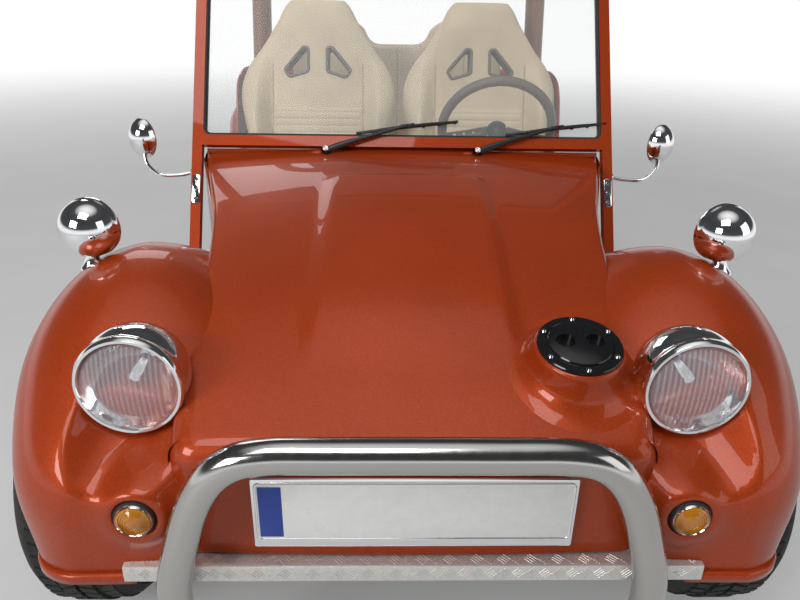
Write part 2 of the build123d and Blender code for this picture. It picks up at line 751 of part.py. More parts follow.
# Headlamps: chrome bowls and fluted lenses
with BuildPart() as lamp_shell:
    for radius, pole, mode in ((98, 130, Mode.ADD), (88, 121, Mode.SUBTRACT)):
        with BuildSketch():
            make_face(dished(radius, 5, pole, -14))
        revolve(axis=Axis.Y, mode=mode)
with BuildPart() as lamp_pair:
    with Locations((-LAMP_X, LAMP_Y, LAMP_Z), (LAMP_X, LAMP_Y, LAMP_Z)):
        add(lamp_shell.part)
    add(hood.part, mode=Mode.SUBTRACT)
with BuildPart() as headlamp_shells:
    add(largest(lamp_pair.part, 2))
keep(headlamp_shells, "headlamp_shells")
with BuildPart() as lamp_lens:
    with BuildSketch():
        make_face(dished(87.6, -15, -31, -8))
    revolve(axis=Axis.Y)
with BuildPart() as headlamp_lenses:
    with Locations((-LAMP_X, LAMP_Y, LAMP_Z), (LAMP_X, LAMP_Y, LAMP_Z)):
        add(lamp_lens.part)
keep(headlamp_lenses, "headlamp_lenses")

# Front indicators: rubber ring, plated ring and domed lens
with BuildPart() as indicator:
    with BuildSketch():
        with BuildLine():
            Polyline(
                (0, 0), (34, 0), (34, -20), (31, -23), (29.5, -22), (29.5, -24), (27.5, -27), (25.5, -24),
                (25, -28), (18, -32.5), (8, -34), (0, -34), (0, 0),
            )
        make_face()
    revolve(axis=Axis.Y)
with BuildPart() as indicators:
    with Locations((-IND_X, -1640, IND_Z), (IND_X, -1640, IND_Z)):
        add(indicator.part)
keep(indicators, "indicators")

# Bull bar
BULL_Y = -1694
with BuildPart() as bull_bar:
    pipe(
        [(-405, BULL_Y + 40, 200), (-405, BULL_Y, 375), (-300, BULL_Y, 650), (300, BULL_Y, 650),
         (405, BULL_Y, 375), (405, BULL_Y + 40, 200)], BULL_BAR_R, 90,
    )
    for side in (-1, 1):
        pipe([(side * 405, BULL_Y + 30, 240), (side * 330, BEAM_Y, 240)], 14, 0)
    add(front_axle.part, mode=Mode.SUBTRACT)
keep(bull_bar, "bull_bar")

# Tread-plate strip along the lower lip
with BuildPart() as tread_strip:
    with Locations((0, -1651, 433)):
        Box(970, 22, 3)
    with Locations((0, -1661, 421)):
        Box(970, 3, 26)
    add(front_fender_left.part, mode=Mode.SUBTRACT)
    add(front_fender_left.part.mirror(Plane.YZ), mode=Mode.SUBTRACT)
keep(tread_strip, "tread_strip")

# Number plate, blank, in its frame
with BuildPart() as number_plate:
    with BuildSketch(Plane.XZ.offset(1641)):
        with Locations((0, 497)):
            RectangleRounded(530, 120, 8)
    extrude(amount=14)
    with BuildSketch(Plane.XZ.offset(1655)):
        with Locations((0, 497)):
            RectangleRounded(520, 110, 5)
    extrude(amount=-2, mode=Mode.SUBTRACT)
keep(number_plate, "number_plate")

# Fuel filler: flange on the raised boss, with a low domed cap
with BuildPart() as filler_cap:
    with BuildSketch(filler_plane):
        Circle(75)
    extrude(amount=7)
    with BuildSketch(filler_plane.offset(7)):
        Circle(58)
    extrude(amount=9, taper=25)
    with BuildSketch(filler_plane.offset(9)):
        with Locations((-26, 0), (26, 0)):
            Circle(16)
    extrude(amount=10, mode=Mode.SUBTRACT)
keep(filler_cap, "filler_cap")

# Mirrors: two plated bowls on the fenders, two smaller ones on the screen posts
FENDER_MIRROR = (659, -1190, 840)
POST_MIRROR = (736, -590, 904)
with BuildPart() as mirror_bowl:
    with BuildSketch():
        make_face(dished(62, 0, -62, 14))
    revolve(axis=Axis.Y)
    with BuildSketch(Plane.XZ.offset(-14)):
        Circle(57)
    extrude(amount=5, mode=Mode.SUBTRACT)
with BuildPart() as small_bowl:
    with BuildSketch():
        make_face(dished(50, 0, -34, 8))
    revolve(axis=Axis.Y)
    with BuildSketch(Plane.XZ.offset(-8)):
        Circle(46)
    extrude(amount=3, mode=Mode.SUBTRACT)
    scale(by=(0.88, 1, 1.12))
with BuildPart() as mirror_set:
    for side in (-1, 1):
        x, y, z = FENDER_MIRROR
        with Locations(Location((side * x, y, z), (0, 0, side * 10))):
            add(mirror_bowl.part)
        pipe([(side * (x + 4), y, z - 54), (side * (x + 5), y, z - 80)], 13, 0)
        pipe([(side * (x + 5), y, z - 70), (side * (x + 6), y, z - 92)], 19, 0)
        x, y, z = POST_MIRROR
        with Locations(Location((side * x, y, z), (0, 0, side * 25))):
            add(small_bowl.part)
        pipe([(side * 598, -600, 812), (side * 680, -620, 806), (side * 728, -606, 850), (side * 730, -600, 880)], 6, 22)
    for neighbour in (windscreen_frame, front_fender_left, side_left):
        add(neighbour.part, mode=Mode.SUBTRACT)
        add(neighbour.part.mirror(Plane.YZ), mode=Mode.SUBTRACT)
with BuildPart() as mirrors:
    add(largest(mirror_set.part, 4))
keep(mirrors, "mirrors")

# Seats: bucket shell and padding with side bolsters, headrest and two harness slots
BACK_RAKE = 16
BACK_OUTLINE = [(-235, 0), (-242, 330), (-288, 520), (-272, 590), (-140, 700), (-122, 830)]
for side, node in ((1, "seat_left"), (-1, "seat_right")):
    back_plane = Plane(
        origin=(side * SEAT_X, 70, 430), x_dir=(1, 0, 0), z_dir=(0, -cos(radians(BACK_RAKE)), sin(radians(BACK_RAKE)))
    )
    with BuildPart() as seat:
        with BuildSketch(back_plane):
            with BuildLine():
                Polyline(*BACK_OUTLINE)
                ThreePointArc((-122, 830), (0, 880), (122, 830))
                Polyline(*[(-x, y) for x, y in reversed(BACK_OUTLINE)])
                Line((235, 0), (-235, 0))
            make_face()
        extrude(amount=-85)
        with BuildSketch(back_plane):
            for hand in (-1, 1):
                with Locations(Location((hand * 62, 640), (0, 0, -hand * 28))):
                    RectangleRounded(54, 107, 24)
        extrude(amount=5)
        with BuildSketch(back_plane.offset(5)):
            for hand in (-1, 1):
                with Locations(Location((hand * 62, 640), (0, 0, -hand * 28))):
                    RectangleRounded(42, 95, 18)
        extrude(amount=-105, mode=Mode.SUBTRACT)
        for hand in (-1, 1):
            with BuildSketch(back_plane):
                with BuildLine():
                    Polyline(
                        (hand * 236, 60), (hand * 242, 330), (hand * 286, 520), (hand * 228, 570),
                        (hand * 180, 330), (hand * 180, 60), (hand * 236, 60),
                    )
                make_face()
            extrude(amount=70, taper=12)
            with BuildSketch(Plane.XZ.offset(-100)):
                with Locations((side * SEAT_X + hand * 213, 480)):
                    RectangleRounded(64, 112, 28)
            extrude(amount=440)
        with BuildSketch(Plane.YZ.offset(side * SEAT_X - 210)):
            with BuildLine():
                FilletPolyline(
                    (120, 385), (120, 500), (-120, 480), (-345, 520), (-345, 396), (120, 385), radius=26
                )
            make_face()
        extrude(amount=420)
        with Locations((side * SEAT_X, -110, 297)):
            Box(300, 380, 176)
    keep(seat, node)

# Rear bench: seat cushion and a back with two raised headrests
BENCH_HALF = 490
with BuildPart() as rear_bench:
    with BuildSketch(Plane.YZ.offset(-BENCH_HALF)):
        with BuildLine():
            FilletPolyline((728, 437), (728, 560), (312, 588), (312, 437), (728, 437), radius=26)
        make_face()
    extrude(amount=2 * BENCH_HALF)
    with BuildSketch(Plane.XZ.offset(-712)):
        with BuildLine():
            Polyline((-90, 1090), (90, 1090))
            ThreePointArc((90, 1090), (128, 1110), (150, 1150))
            ThreePointArc((150, 1150), (275, 1200), (400, 1150))
            ThreePointArc((400, 1150), (460, 1090), (BENCH_HALF, 1000))
            Polyline((BENCH_HALF, 1000), (BENCH_HALF, 440), (-BENCH_HALF, 440), (-BENCH_HALF, 1000))
            ThreePointArc((-BENCH_HALF, 1000), (-460, 1090), (-400, 1150))
            ThreePointArc((-400, 1150), (-275, 1200), (-150, 1150))
            ThreePointArc((-150, 1150), (-128, 1110), (-90, 1090))
        make_face()
    extrude(amount=-102)
keep(rear_bench, "rear_bench")

# Roll bar
ROLL_Y = 470
with BuildPart() as roll_bar:
    pipe(
        [(-550, ROLL_Y, 442), (-564, ROLL_Y, 1000), (-545, ROLL_Y, 1440), (545, ROLL_Y, 1440),
         (564, ROLL_Y, 1000), (550, ROLL_Y, 442)], ROLL_BAR_R, 120,
    )
    for side in (-1, 1):
        with Locations((side * 545, ROLL_Y, 441)):
            Box(96, 120, 9)
keep(roll_bar, "roll_bar")

# Steering column and wheel
with BuildPart() as steering_column:
    with BuildSketch(Plane(origin=wheel_hub - column_dir * 60, z_dir=-column_dir)):
        Circle(22)
    extrude(amount=420)
    with BuildSketch(Plane(origin=wheel_hub - column_dir * 60, z_dir=-column_dir)):
        Circle(11.05)
    extrude(amount=120, mode=Mode.SUBTRACT)
    with BuildSketch(Plane(origin=wheel_hub - column_dir * 470, z_dir=-column_dir)):
        Circle(10)
    extrude(amount=560)
    with Locations(column_foot):
        Box(70, 90, 70)
    with Locations((column_foot.X, BEAM_Y + 10, BEAM_HIGH_Z + 36)):
        Box(56, 84, 20)
    add(front_axle.part, mode=Mode.SUBTRACT)
keep(steering_column, "steering_column")
wheel_plane = Plane(origin=wheel_hub, x_dir=(1, 0, 0), z_dir=column_dir)
with BuildPart() as steering_wheel:
    with BuildSketch(Plane(origin=wheel_hub, x_dir=column_dir, z_dir=wheel_plane.x_dir)):
        with Locations((0, STEER_RIM_R - 7)):
            Circle(14)
    revolve(axis=Axis(wheel_hub, column_dir))
    with BuildSketch(wheel_plane.offset(-8)):
        Circle(32)
        for turn in (0, 120, 240):
            with Locations(Location((0, 0), (0, 0, turn))):
                with Locations((0, -85)):
                    Rectangle(28, 165)
    extrude(amount=10)
    with BuildSketch(wheel_plane.offset(-150)):
        Circle(11)
    extrude(amount=150)
keep(steering_wheel, "steering_wheel")

# Gear lever, handbrake and pedals
with BuildPart() as cockpit_controls:
    with Locations((0, -330, TUNNEL_Z + 7), (0, -140, TUNNEL_Z + 7)):
        Cylinder(22, 14)
    pipe([(0, -330, TUNNEL_Z + 8), (0, -290, 620)], 7, 0)
    with Locations((0, -288, 632)):
        Sphere(20)
    pipe([(0, -140, TUNNEL_Z + 10), (0, 60, 470)], 10, 0)
    for x in (140, 240, 340):
        with Locations((x, -780, FLOOR_Z + 11)):
            Box(40, 40, 14)
        pipe([(x, -780, FLOOR_Z + 14), (x, -700, 400)], 8, 0)
        with Locations((x, -698, 410)):
            Box(60, 14, 60)
keep(cockpit_controls, "cockpit_controls")
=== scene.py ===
"""Full-size dune buggy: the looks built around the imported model, in metres, front towards -Y."""

from math import atan2, cos, pi, radians, sin, sqrt, tan

import bmesh
import bpy
import numpy as np
from bpy.props import FloatProperty, FloatVectorProperty, IntProperty, PointerProperty
from mathutils import Matrix, Vector
from mathutils.bvhtree import BVHTree


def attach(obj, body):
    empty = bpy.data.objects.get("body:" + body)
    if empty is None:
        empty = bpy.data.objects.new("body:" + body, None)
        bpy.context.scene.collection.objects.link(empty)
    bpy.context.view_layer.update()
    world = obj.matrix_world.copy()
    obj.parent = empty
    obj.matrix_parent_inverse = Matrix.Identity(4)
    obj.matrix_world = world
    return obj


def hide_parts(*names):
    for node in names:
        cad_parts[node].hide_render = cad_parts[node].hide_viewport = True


bl_info = {
    "name": "Dune buggy looks",
    "version": (1, 0, 0),
    "blender": (4, 5, 0),
    "location": "3D View > Sidebar > Buggy",
    "description": "Builds the painted, padded and plated pieces of a dune buggy around its packed model",
    "category": "Add Mesh",
}

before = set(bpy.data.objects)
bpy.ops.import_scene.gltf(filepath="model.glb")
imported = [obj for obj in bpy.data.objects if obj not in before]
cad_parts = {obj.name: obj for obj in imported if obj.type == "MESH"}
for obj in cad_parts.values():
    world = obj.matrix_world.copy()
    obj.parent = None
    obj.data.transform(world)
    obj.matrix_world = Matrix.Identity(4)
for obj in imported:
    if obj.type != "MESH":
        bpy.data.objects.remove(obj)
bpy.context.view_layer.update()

FRONT_AXLE = Vector((0.0, -1.235, 0.317))
REAR_AXLE = Vector((0.0, 1.165, 0.335))
BACK, UP = Vector((0, 1, 0)), Vector((0, 0, 1))
SKIN = 0.005


# Small tools for meshes
def new_object(name, data):
    """An object in the scene around a mesh, a light or a camera."""
    piece = bpy.data.objects.new(name, data)
    bpy.context.scene.collection.objects.link(piece)
    return piece


def link_mesh(name, verts, faces, smooth=True):
    """A piece from points and faces, with its normals put right."""
    mesh = bpy.data.meshes.new(name)
    mesh.from_pydata([tuple(v) for v in verts], [], [tuple(f) for f in faces])
    mesh.validate()
    piece = new_object(name, mesh)
    tidy_normals(piece)
    if smooth:
        mesh.shade_smooth()
    return piece


def tidy_normals(piece, merge=1e-5):
    """Merges doubles and turns the faces outwards."""
    bm = bmesh.new()
    bm.from_mesh(piece.data)
    bmesh.ops.remove_doubles(bm, verts=bm.verts, dist=merge)
    bmesh.ops.recalc_face_normals(bm, faces=bm.faces)
    bm.to_mesh(piece.data)
    bm.free()


def grid_piece(name, points, wrap_u=False, wrap_v=False, cap=False):
    """A mesh over a rectangular array of points, u down the rows and v along them."""
    points = np.asarray(points, float)
    rows, cols = points.shape[:2]
    faces = []
    for i in range(rows if wrap_u else rows - 1):
        for j in range(cols if wrap_v else cols - 1):
            a, b = i * cols + j, i * cols + (j + 1) % cols
            c, d = ((i + 1) % rows) * cols + (j + 1) % cols, ((i + 1) % rows) * cols + j
            faces.append((a, b, c, d))
    if cap:
        faces.append(tuple(range(cols)))
        faces.append(tuple((rows - 1) * cols + j for j in range(cols)))
    return link_mesh(name, points.reshape(-1, 3), faces)


def join(name, pieces):
    """One piece from several meshes, its modifiers applied first."""
    graph = bpy.context.evaluated_depsgraph_get()
    bm = bmesh.new()
    slots = []
    for piece in pieces:
        graph.update()
        mesh = bpy.data.meshes.new_from_object(piece.evaluated_get(graph))
        start = len(bm.faces)
        bm.from_mesh(mesh)
        bm.faces.ensure_lookup_table()
        local = list(mesh.materials) or [None]
        index = []
        for mat in local:
            if mat not in slots:
                slots.append(mat)
            index.append(slots.index(mat))
        for face in bm.faces[start:]:
            face.material_index = index[min(face.material_index, len(index) - 1)]
    joined = bpy.data.meshes.new(name)
    bm.to_mesh(joined)
    bm.free()
    for mat in slots:
        joined.materials.append(mat)
    for piece in pieces:
        bpy.data.objects.remove(piece)
    return new_object(name, joined)


def bake_modifiers(piece):
    """Turns a piece with modifiers into a plain mesh."""
    graph = bpy.context.evaluated_depsgraph_get()
    graph.update()
    mesh = bpy.data.meshes.new_from_object(piece.evaluated_get(graph))
    piece.modifiers.clear()
    piece.data = mesh
    return piece


def solidify(piece, thickness):
    """Gives a skin its wall, inwards."""
    wall = piece.modifiers.new("wall", "SOLIDIFY")
    wall.thickness = thickness
    wall.offset = -1.0
    return bake_modifiers(piece)


def bevel(piece, width, segments=2):
    """Rounds the edges of a piece that turn by more than 35 degrees."""
    round_edge = piece.modifiers.new("edge", "BEVEL")
    round_edge.width = width
    round_edge.segments = segments
    round_edge.limit_method = "ANGLE"
    round_edge.angle_limit = radians(35)
    bake_modifiers(piece)
    piece.data.shade_smooth()
    sharp_by_angle(piece, 40)
    return piece


def sharp_by_angle(piece, limit):
    """Smooth shading, with edges that turn by more than a limit in degrees kept sharp."""
    bm = bmesh.new()
    bm.from_mesh(piece.data)
    for edge in bm.edges:
        edge.smooth = not (len(edge.link_faces) == 2 and edge.calc_face_angle(0) > radians(limit))
    bm.to_mesh(piece.data)
    bm.free()


def frame_of(direction):
    """Rotation whose Z axis runs along a direction."""
    return Vector(direction).normalized().to_track_quat("Z", "Y").to_matrix()


def round_angles(steps):
    """Equal angles round a full turn."""
    return [2 * pi * k / steps for k in range(steps)]


def turned_ring(origin, turn, radius, height, steps):
    """Points round a circle, at a height along the axis of a rotation."""
    origin = Vector(origin)
    return [origin + turn @ Vector((radius * cos(a), radius * sin(a), height)) for a in round_angles(steps)]


def lathe(name, profile, origin, axis, steps=64, sharp=40):
    """A turned piece: profile is (radius, height) pairs along the axis from the origin."""
    turn = frame_of(axis)
    rings = [turned_ring(origin, turn, radius, height, steps) for radius, height in profile]
    piece = grid_piece(name, rings, wrap_v=True)
    tidy_normals(piece, 1e-6)
    sharp_by_angle(piece, sharp)
    return piece


def tube(name, path, radius, steps=20):
    """A round bar along a path; radius is a number or one for each point."""
    path = [Vector(p) for p in path]
    radii = radius if isinstance(radius, (list, tuple)) else [radius] * len(path)
    side = (path[1] - path[0]).orthogonal().normalized()
    rings = []
    for i, point in enumerate(path):
        ahead = (path[min(i + 1, len(path) - 1)] - path[max(i - 1, 0)]).normalized()
        side = (side - ahead * side.dot(ahead)).normalized()
        other = ahead.cross(side)
        rings.append([point + (side * cos(a) + other * sin(a)) * radii[i] for a in round_angles(steps)])
    piece = grid_piece(name, rings, wrap_v=True, cap=True)
    sharp_by_angle(piece, 50)
    return piece


def block(name, low, high, edge=0.002, segments=2):
    """A box with rounded edges."""
    (x0, y0, z0), (x1, y1, z1) = low, high
    verts = [(x, y, z) for z in (z0, z1) for y in (y0, y1) for x in (x0, x1)]
    faces = [(0, 2, 3, 1), (4, 5, 7, 6), (0, 1, 5, 4), (2, 6, 7, 3), (0, 4, 6, 2), (1, 3, 7, 5)]
    piece = link_mesh(name, verts, faces, smooth=False)
    return bevel(piece, edge, segments) if edge else piece


def plate(name, outline, matrix, thickness, edge=0.001):
    """A flat plate from an outline in its own plane, thickened along its normal."""
    bm = bmesh.new()
    low = [bm.verts.new(matrix @ Vector((x, y, 0))) for x, y in outline]
    face = bm.faces.new(low)
    grown = bmesh.ops.extrude_face_region(bm, geom=[face])
    normal = (matrix.to_3x3() @ Vector((0, 0, 1))).normalized()
    moved = [v for v in grown["geom"] if isinstance(v, bmesh.types.BMVert)]
    bmesh.ops.translate(bm, verts=moved, vec=normal * thickness)
    mesh = bpy.data.meshes.new(name)
    bm.to_mesh(mesh)
    bm.free()
    piece = new_object(name, mesh)
    tidy_normals(piece)
    return bevel(piece, edge, 2) if edge else piece


def rounded_outline(width, height, radius, steps=8):
    """Outline of a rectangle with rounded corners, about its centre."""
    out = []
    for k, (sx, sy) in enumerate(((1, 1), (-1, 1), (-1, -1), (1, -1))):
        cx, cy = sx * (width / 2 - radius), sy * (height / 2 - radius)
        for i in range(steps + 1):
            a = k * pi / 2 + i * pi / 2 / steps
            out.append((cx + radius * cos(a), cy + radius * sin(a)))
    return out


def mirror_copy(piece, name):
    """The same mesh on the other side of the centre plane."""
    twin = new_object(name, piece.data.copy())
    twin.data.transform(Matrix.Scale(-1, 4, (1, 0, 0)))
    tidy_normals(twin, 1e-7)
    return twin


def paint_with(piece, material):
    """Gives the whole piece one material."""
    piece.data.materials.clear()
    piece.data.materials.append(material)
    return piece


def place(piece, body, slot, *nodes):
    """Puts a piece on its body and lets it stand for its CAD nodes, which are hidden; slot is not used."""
    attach(piece, body)
    if nodes:
        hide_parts(*nodes)
    return piece


def through(table, column):
    """A smooth curve through one column of a table against its first column."""
    xs = np.array([row[0] for row in table], float)
    ys = np.array([row[column] for row in table], float)
    slope = np.gradient(ys, xs)

    def at(x):
        x = np.clip(x, min(xs[0], xs[-1]), max(xs[0], xs[-1]))
        order = xs if xs[0] < xs[-1] else xs[::-1]
        i = np.clip(np.searchsorted(order, x) - 1, 0, len(xs) - 2)
        if xs[0] > xs[-1]:
            i = len(xs) - 2 - i
        h = xs[i + 1] - xs[i]
        t = (x - xs[i]) / h
        low = (1 + 2 * t) * (1 - t) ** 2 * ys[i] + t * (1 - t) ** 2 * h * slope[i]
        return low + t * t * (3 - 2 * t) * ys[i + 1] + t * t * (t - 1) * h * slope[i + 1]

    return at


def step(x, low, high):
    """0 below low, 1 above high, smooth between."""
    t = np.clip((x - low) / (high - low), 0, 1)
    return t * t * (3 - 2 * t)


def along(points, curve_steps=10):
    """A smooth run through points, by Catmull-Rom."""
    pts = [Vector(p) for p in points]
    pts = [pts[0] * 2 - pts[1], *pts, pts[-1] * 2 - pts[-2]]
    out = []
    for a, b, c, d in zip(pts, pts[1:], pts[2:], pts[3:]):
        for k in range(curve_steps):
            t = k / curve_steps
            bend = (2 * a - 5 * b + 4 * c - d) * t * t + (3 * b - a - 3 * c + d) * t**3
            out.append(0.5 * (2 * b + (c - a) * t + bend))
    out.append(pts[-2])
    return out


def loop_tube(name, path, radius, steps=12):
    """A closed round bar through a loop of points."""
    path = [Vector(p) for p in path]
    count = len(path)
    rings = []
    side = None
    for i, point in enumerate(path):
        ahead = (path[(i + 1) % count] - path[i - 1]).normalized()
        side = ahead.orthogonal() if side is None else side - ahead * side.dot(ahead)
        side.normalize()
        other = ahead.cross(side)
        rings.append([point + (side * cos(a) + other * sin(a)) * radius for a in round_angles(steps)])
    twist = (rings[-1][0] - path[-1]).normalized()
    start = (rings[0][0] - path[0]).normalized()
    shift = round(twist.angle(start) / (2 * pi / steps)) % steps
    rings.append(rings[0][shift:] + rings[0][:shift])
    return grid_piece(name, rings, wrap_v=True)


def rounded_loop(corners, radius, steps=6):
    """Closed outline in 2-D with rounded corners."""
    out = []
    count = len(corners)
    for i in range(count):
        a, b, c = (Vector(corners[(i + k - 1) % count]).to_3d() for k in range(3))
        u, v = (a - b).normalized(), (c - b).normalized()
        angle = u.angle(v)
        reach = min(radius / tan(angle / 2), 0.45 * (a - b).length, 0.45 * (c - b).length)
        r = reach * tan(angle / 2)
        centre = b + (u + v).normalized() * (r / sin(angle / 2))
        start, end = b + u * reach - centre, b + v * reach - centre
        total = pi - angle
        for k in range(steps + 1):
            w = total * k / steps
            p = centre + (start * sin(total - w) + end * sin(w)) / sin(total)
            out.append((p.x, p.y))
    return out


def cut_away(piece, tool):
    """Boolean difference; the tool is removed."""
    cut = piece.modifiers.new("cut", "BOOLEAN")
    cut.operation = "DIFFERENCE"
    cut.solver = "EXACT"
    cut.object = tool
    bake_modifiers(piece)
    bpy.data.objects.remove(tool)
    return piece


# Geometry Nodes: what repeats
def repeat_group(kind):
    """Instances of the input mesh, turned about X or stepped along a line."""
    name = f"Repeat {kind}"
    if name in bpy.data.node_groups:
        return bpy.data.node_groups[name]
    tree = bpy.data.node_groups.new(name, "GeometryNodeTree")
    face = tree.interface
    face.new_socket(name="Geometry", in_out="INPUT", socket_type="NodeSocketGeometry")
    face.new_socket(name="Count", in_out="INPUT", socket_type="NodeSocketInt")
    face.new_socket(name="Step", in_out="INPUT", socket_type="NodeSocketVector")
    face.new_socket(name="Material", in_out="INPUT", socket_type="NodeSocketMaterial")
    face.new_socket(name="Geometry", in_out="OUTPUT", socket_type="NodeSocketGeometry")
    source, sink = tree.nodes.new("NodeGroupInput"), tree.nodes.new("NodeGroupOutput")
    line = tree.nodes.new("GeometryNodeMeshLine")
    copies = tree.nodes.new("GeometryNodeInstanceOnPoints")
    real = tree.nodes.new("GeometryNodeRealizeInstances")
    finish = tree.nodes.new("GeometryNodeSetMaterial")
    tree.links.new(source.outputs["Count"], line.inputs["Count"])
    if kind == "along":
        tree.links.new(source.outputs["Step"], line.inputs["Offset"])
    else:
        line.inputs["Offset"].default_value = (0, 0, 0)
        index = tree.nodes.new("GeometryNodeInputIndex")
        turn = add_node(tree, "ShaderNodeVectorMath", operation="SCALE")
        tree.links.new(source.outputs["Step"], turn.inputs[0])
        tree.links.new(index.outputs[0], turn.inputs["Scale"])
        tree.links.new(turn.outputs[0], copies.inputs["Rotation"])
    tree.links.new(line.outputs["Mesh"], copies.inputs["Points"])
    tree.links.new(source.outputs["Geometry"], copies.inputs["Instance"])
    tree.links.new(copies.outputs["Instances"], real.inputs["Geometry"])
    tree.links.new(real.outputs["Geometry"], finish.inputs["Geometry"])
    tree.links.new(source.outputs["Material"], finish.inputs["Material"])
    tree.links.new(finish.outputs["Geometry"], sink.inputs["Geometry"])
    return tree


def repeat(piece, kind, count, step_by, material):
    """Runs the repeat group on a piece and keeps the result as a plain mesh."""
    tree = repeat_group(kind)
    nodes = piece.modifiers.new("repeat", "NODES")
    nodes.node_group = tree
    values = {"Count": count, "Step": step_by, "Material": material}
    for item in tree.interface.items_tree:
        if item.in_out == "INPUT" and item.name in values:
            nodes[item.identifier] = values[item.name]
    return bake_modifiers(piece)


def round_axis(piece, count, material):
    """Copies of a piece spread evenly about the X axis."""
    return repeat(piece, "around", count, (2 * pi / count, 0.0, 0.0), material)


def bolt_head(name, radius, height, origin, axis, hexagon=False):
    """Domed or hexagon bolt head with a washer."""
    steps = 6 if hexagon else 20
    seat = height * 0.2
    washer = [(0, 0.0), (radius * 1.45, 0.0), (radius * 1.45, seat), (0, seat)]
    head = [(radius, seat), (radius, height * 0.75), (radius * 0.8, height), (0.0, height)]
    washer = lathe("washer", washer, origin, axis, 20)
    return join(name, [washer, lathe("head", head, origin, axis, steps, 20)])


# Padding
def surface_tree(piece):
    """Search tree over a piece's faces."""
    bm = bmesh.new()
    bm.from_mesh(piece.data)
    tree = BVHTree.FromBMesh(bm)
    bm.free()
    return tree


def seam_on(name, piece, points, direction, radius, material):
    """Piping laid on a surface: points are dropped along a direction until they meet it."""
    tree = surface_tree(piece)
    direction = Vector(direction).normalized()
    path = []
    for point in points:
        hit = tree.ray_cast(Vector(point) - direction * 0.3, direction)
        if hit[0] is not None:
            path.append(hit[0] - direction * radius * 0.25)
    if len(path) < 3:
        raise RuntimeError(f"{name} met no surface")
    return paint_with(tube(name, path, radius, 8), material)


def puff(piece, voxel, pressure, cap):
    """Swells a closed form as air-filled cloth, with its movement capped, then smooths it."""
    remesh = piece.modifiers.new("remesh", "REMESH")
    remesh.mode = "VOXEL"
    remesh.voxel_size = voxel
    bake_modifiers(piece)
    soften = piece.modifiers.new("soften", "SMOOTH")
    soften.factor = 0.6
    soften.iterations = 8
    bake_modifiers(piece)
    rest = np.array([v.co for v in piece.data.vertices])
    cloth = piece.modifiers.new("cloth", "CLOTH")
    cloth.settings.use_pressure = True
    cloth.settings.uniform_pressure_force = pressure
    cloth.settings.effector_weights.gravity = 0
    cloth.point_cache.frame_start = 1
    cloth.point_cache.frame_end = 20
    for number in range(1, 21):
        bpy.context.scene.frame_set(number)
    bake_modifiers(piece)
    bpy.context.scene.frame_set(1)
    moved = np.array([v.co for v in piece.data.vertices])
    away = moved - rest
    length = np.linalg.norm(away, axis=1, keepdims=True)
    away *= np.minimum(1.0, cap / np.maximum(length, 1e-9))
    piece.data.vertices.foreach_set("co", (rest + away).ravel())
    soften = piece.modifiers.new("soften", "SMOOTH")
    soften.factor = 0.5
    soften.iterations = 5
    bake_modifiers(piece)
    piece.data.shade_smooth()
    return piece


# Settings that a user would change
class BuggySettings(bpy.types.PropertyGroup):
    paint: FloatVectorProperty(
        name="Body paint", description="Copper colour of the body", subtype="COLOR", size=3,
        default=(0.36, 0.042, 0.005), min=0, max=1,
    )
    leather: FloatVectorProperty(
        name="Seat leather", description="Cream colour of the seats", subtype="COLOR", size=3,
        default=(0.62, 0.50, 0.33), min=0, max=1,
    )
    flake: FloatProperty(
        name="Flake", description="Strength of the metal flake in the paint", default=0.35, min=0, max=1,
        subtype="FACTOR",
    )
    pad_pressure: FloatProperty(
        name="Pad pressure", description="How hard the padding pushes its cover out", default=4.0,
        min=0, max=20,
    )
    tread_blocks: IntProperty(
        name="Tread blocks", description="Blocks around each tyre", default=60, min=20, max=120,
    )


# Shader tools
def new_material(name, **values):
    """A material with one Principled shader and plain values on its sockets."""
    mat = bpy.data.materials.new(name)
    mat.use_nodes = True
    tree = mat.node_tree
    tree.nodes.clear()
    out = tree.nodes.new("ShaderNodeOutputMaterial")
    out.name = "output"
    shader = tree.nodes.new("ShaderNodeBsdfPrincipled")
    shader.name = "shader"
    tree.links.new(shader.outputs[0], out.inputs[0])
    for key, value in values.items():
        socket = shader.inputs[key.replace("_", " ")]
        socket.default_value = (*value, 1.0) if isinstance(value, tuple) and len(value) == 3 else value
    return mat


def add_node(tree, kind, **settings):
    node = tree.nodes.new(kind)
    for key, value in settings.items():
        setattr(node, key, value)
    return node


def group_tree(name, inputs, outputs):
    """An empty shader group with named sockets."""
    tree = bpy.data.node_groups.new(name, "ShaderNodeTree")
    for label, default in inputs:
        socket = tree.interface.new_socket(name=label, in_out="INPUT", socket_type="NodeSocketFloat")
        socket.default_value = default
    for label, kind in outputs:
        tree.interface.new_socket(name=label, in_out="OUTPUT", socket_type=kind)
    return tree, tree.nodes.new("NodeGroupInput"), tree.nodes.new("NodeGroupOutput")


def grain_group():
    """Soft noise mask on Object coordinates."""
    name = "Soft grain"
    if name in bpy.data.node_groups:
        return bpy.data.node_groups[name]
    tree, source, sink = group_tree(
        name, (("Scale", 40.0), ("Detail", 4.0), ("Low", 0.0), ("High", 1.0)), (("Mask", "NodeSocketFloat"),)
    )
    where = tree.nodes.new("ShaderNodeTexCoord")
    noise = tree.nodes.new("ShaderNodeTexNoise")
    spread = tree.nodes.new("ShaderNodeMapRange")
    spread.inputs["From Min"].default_value = 0.3
    spread.inputs["From Max"].default_value = 0.7
    tree.links.new(where.outputs["Object"], noise.inputs["Vector"])
    tree.links.new(source.outputs["Scale"], noise.inputs["Scale"])
    tree.links.new(source.outputs["Detail"], noise.inputs["Detail"])
    tree.links.new(noise.outputs["Fac"], spread.inputs["Value"])
    tree.links.new(source.outputs["Low"], spread.inputs["To Min"])
    tree.links.new(source.outputs["High"], spread.inputs["To Max"])
    tree.links.new(spread.outputs["Result"], sink.inputs["Mask"])
    return tree


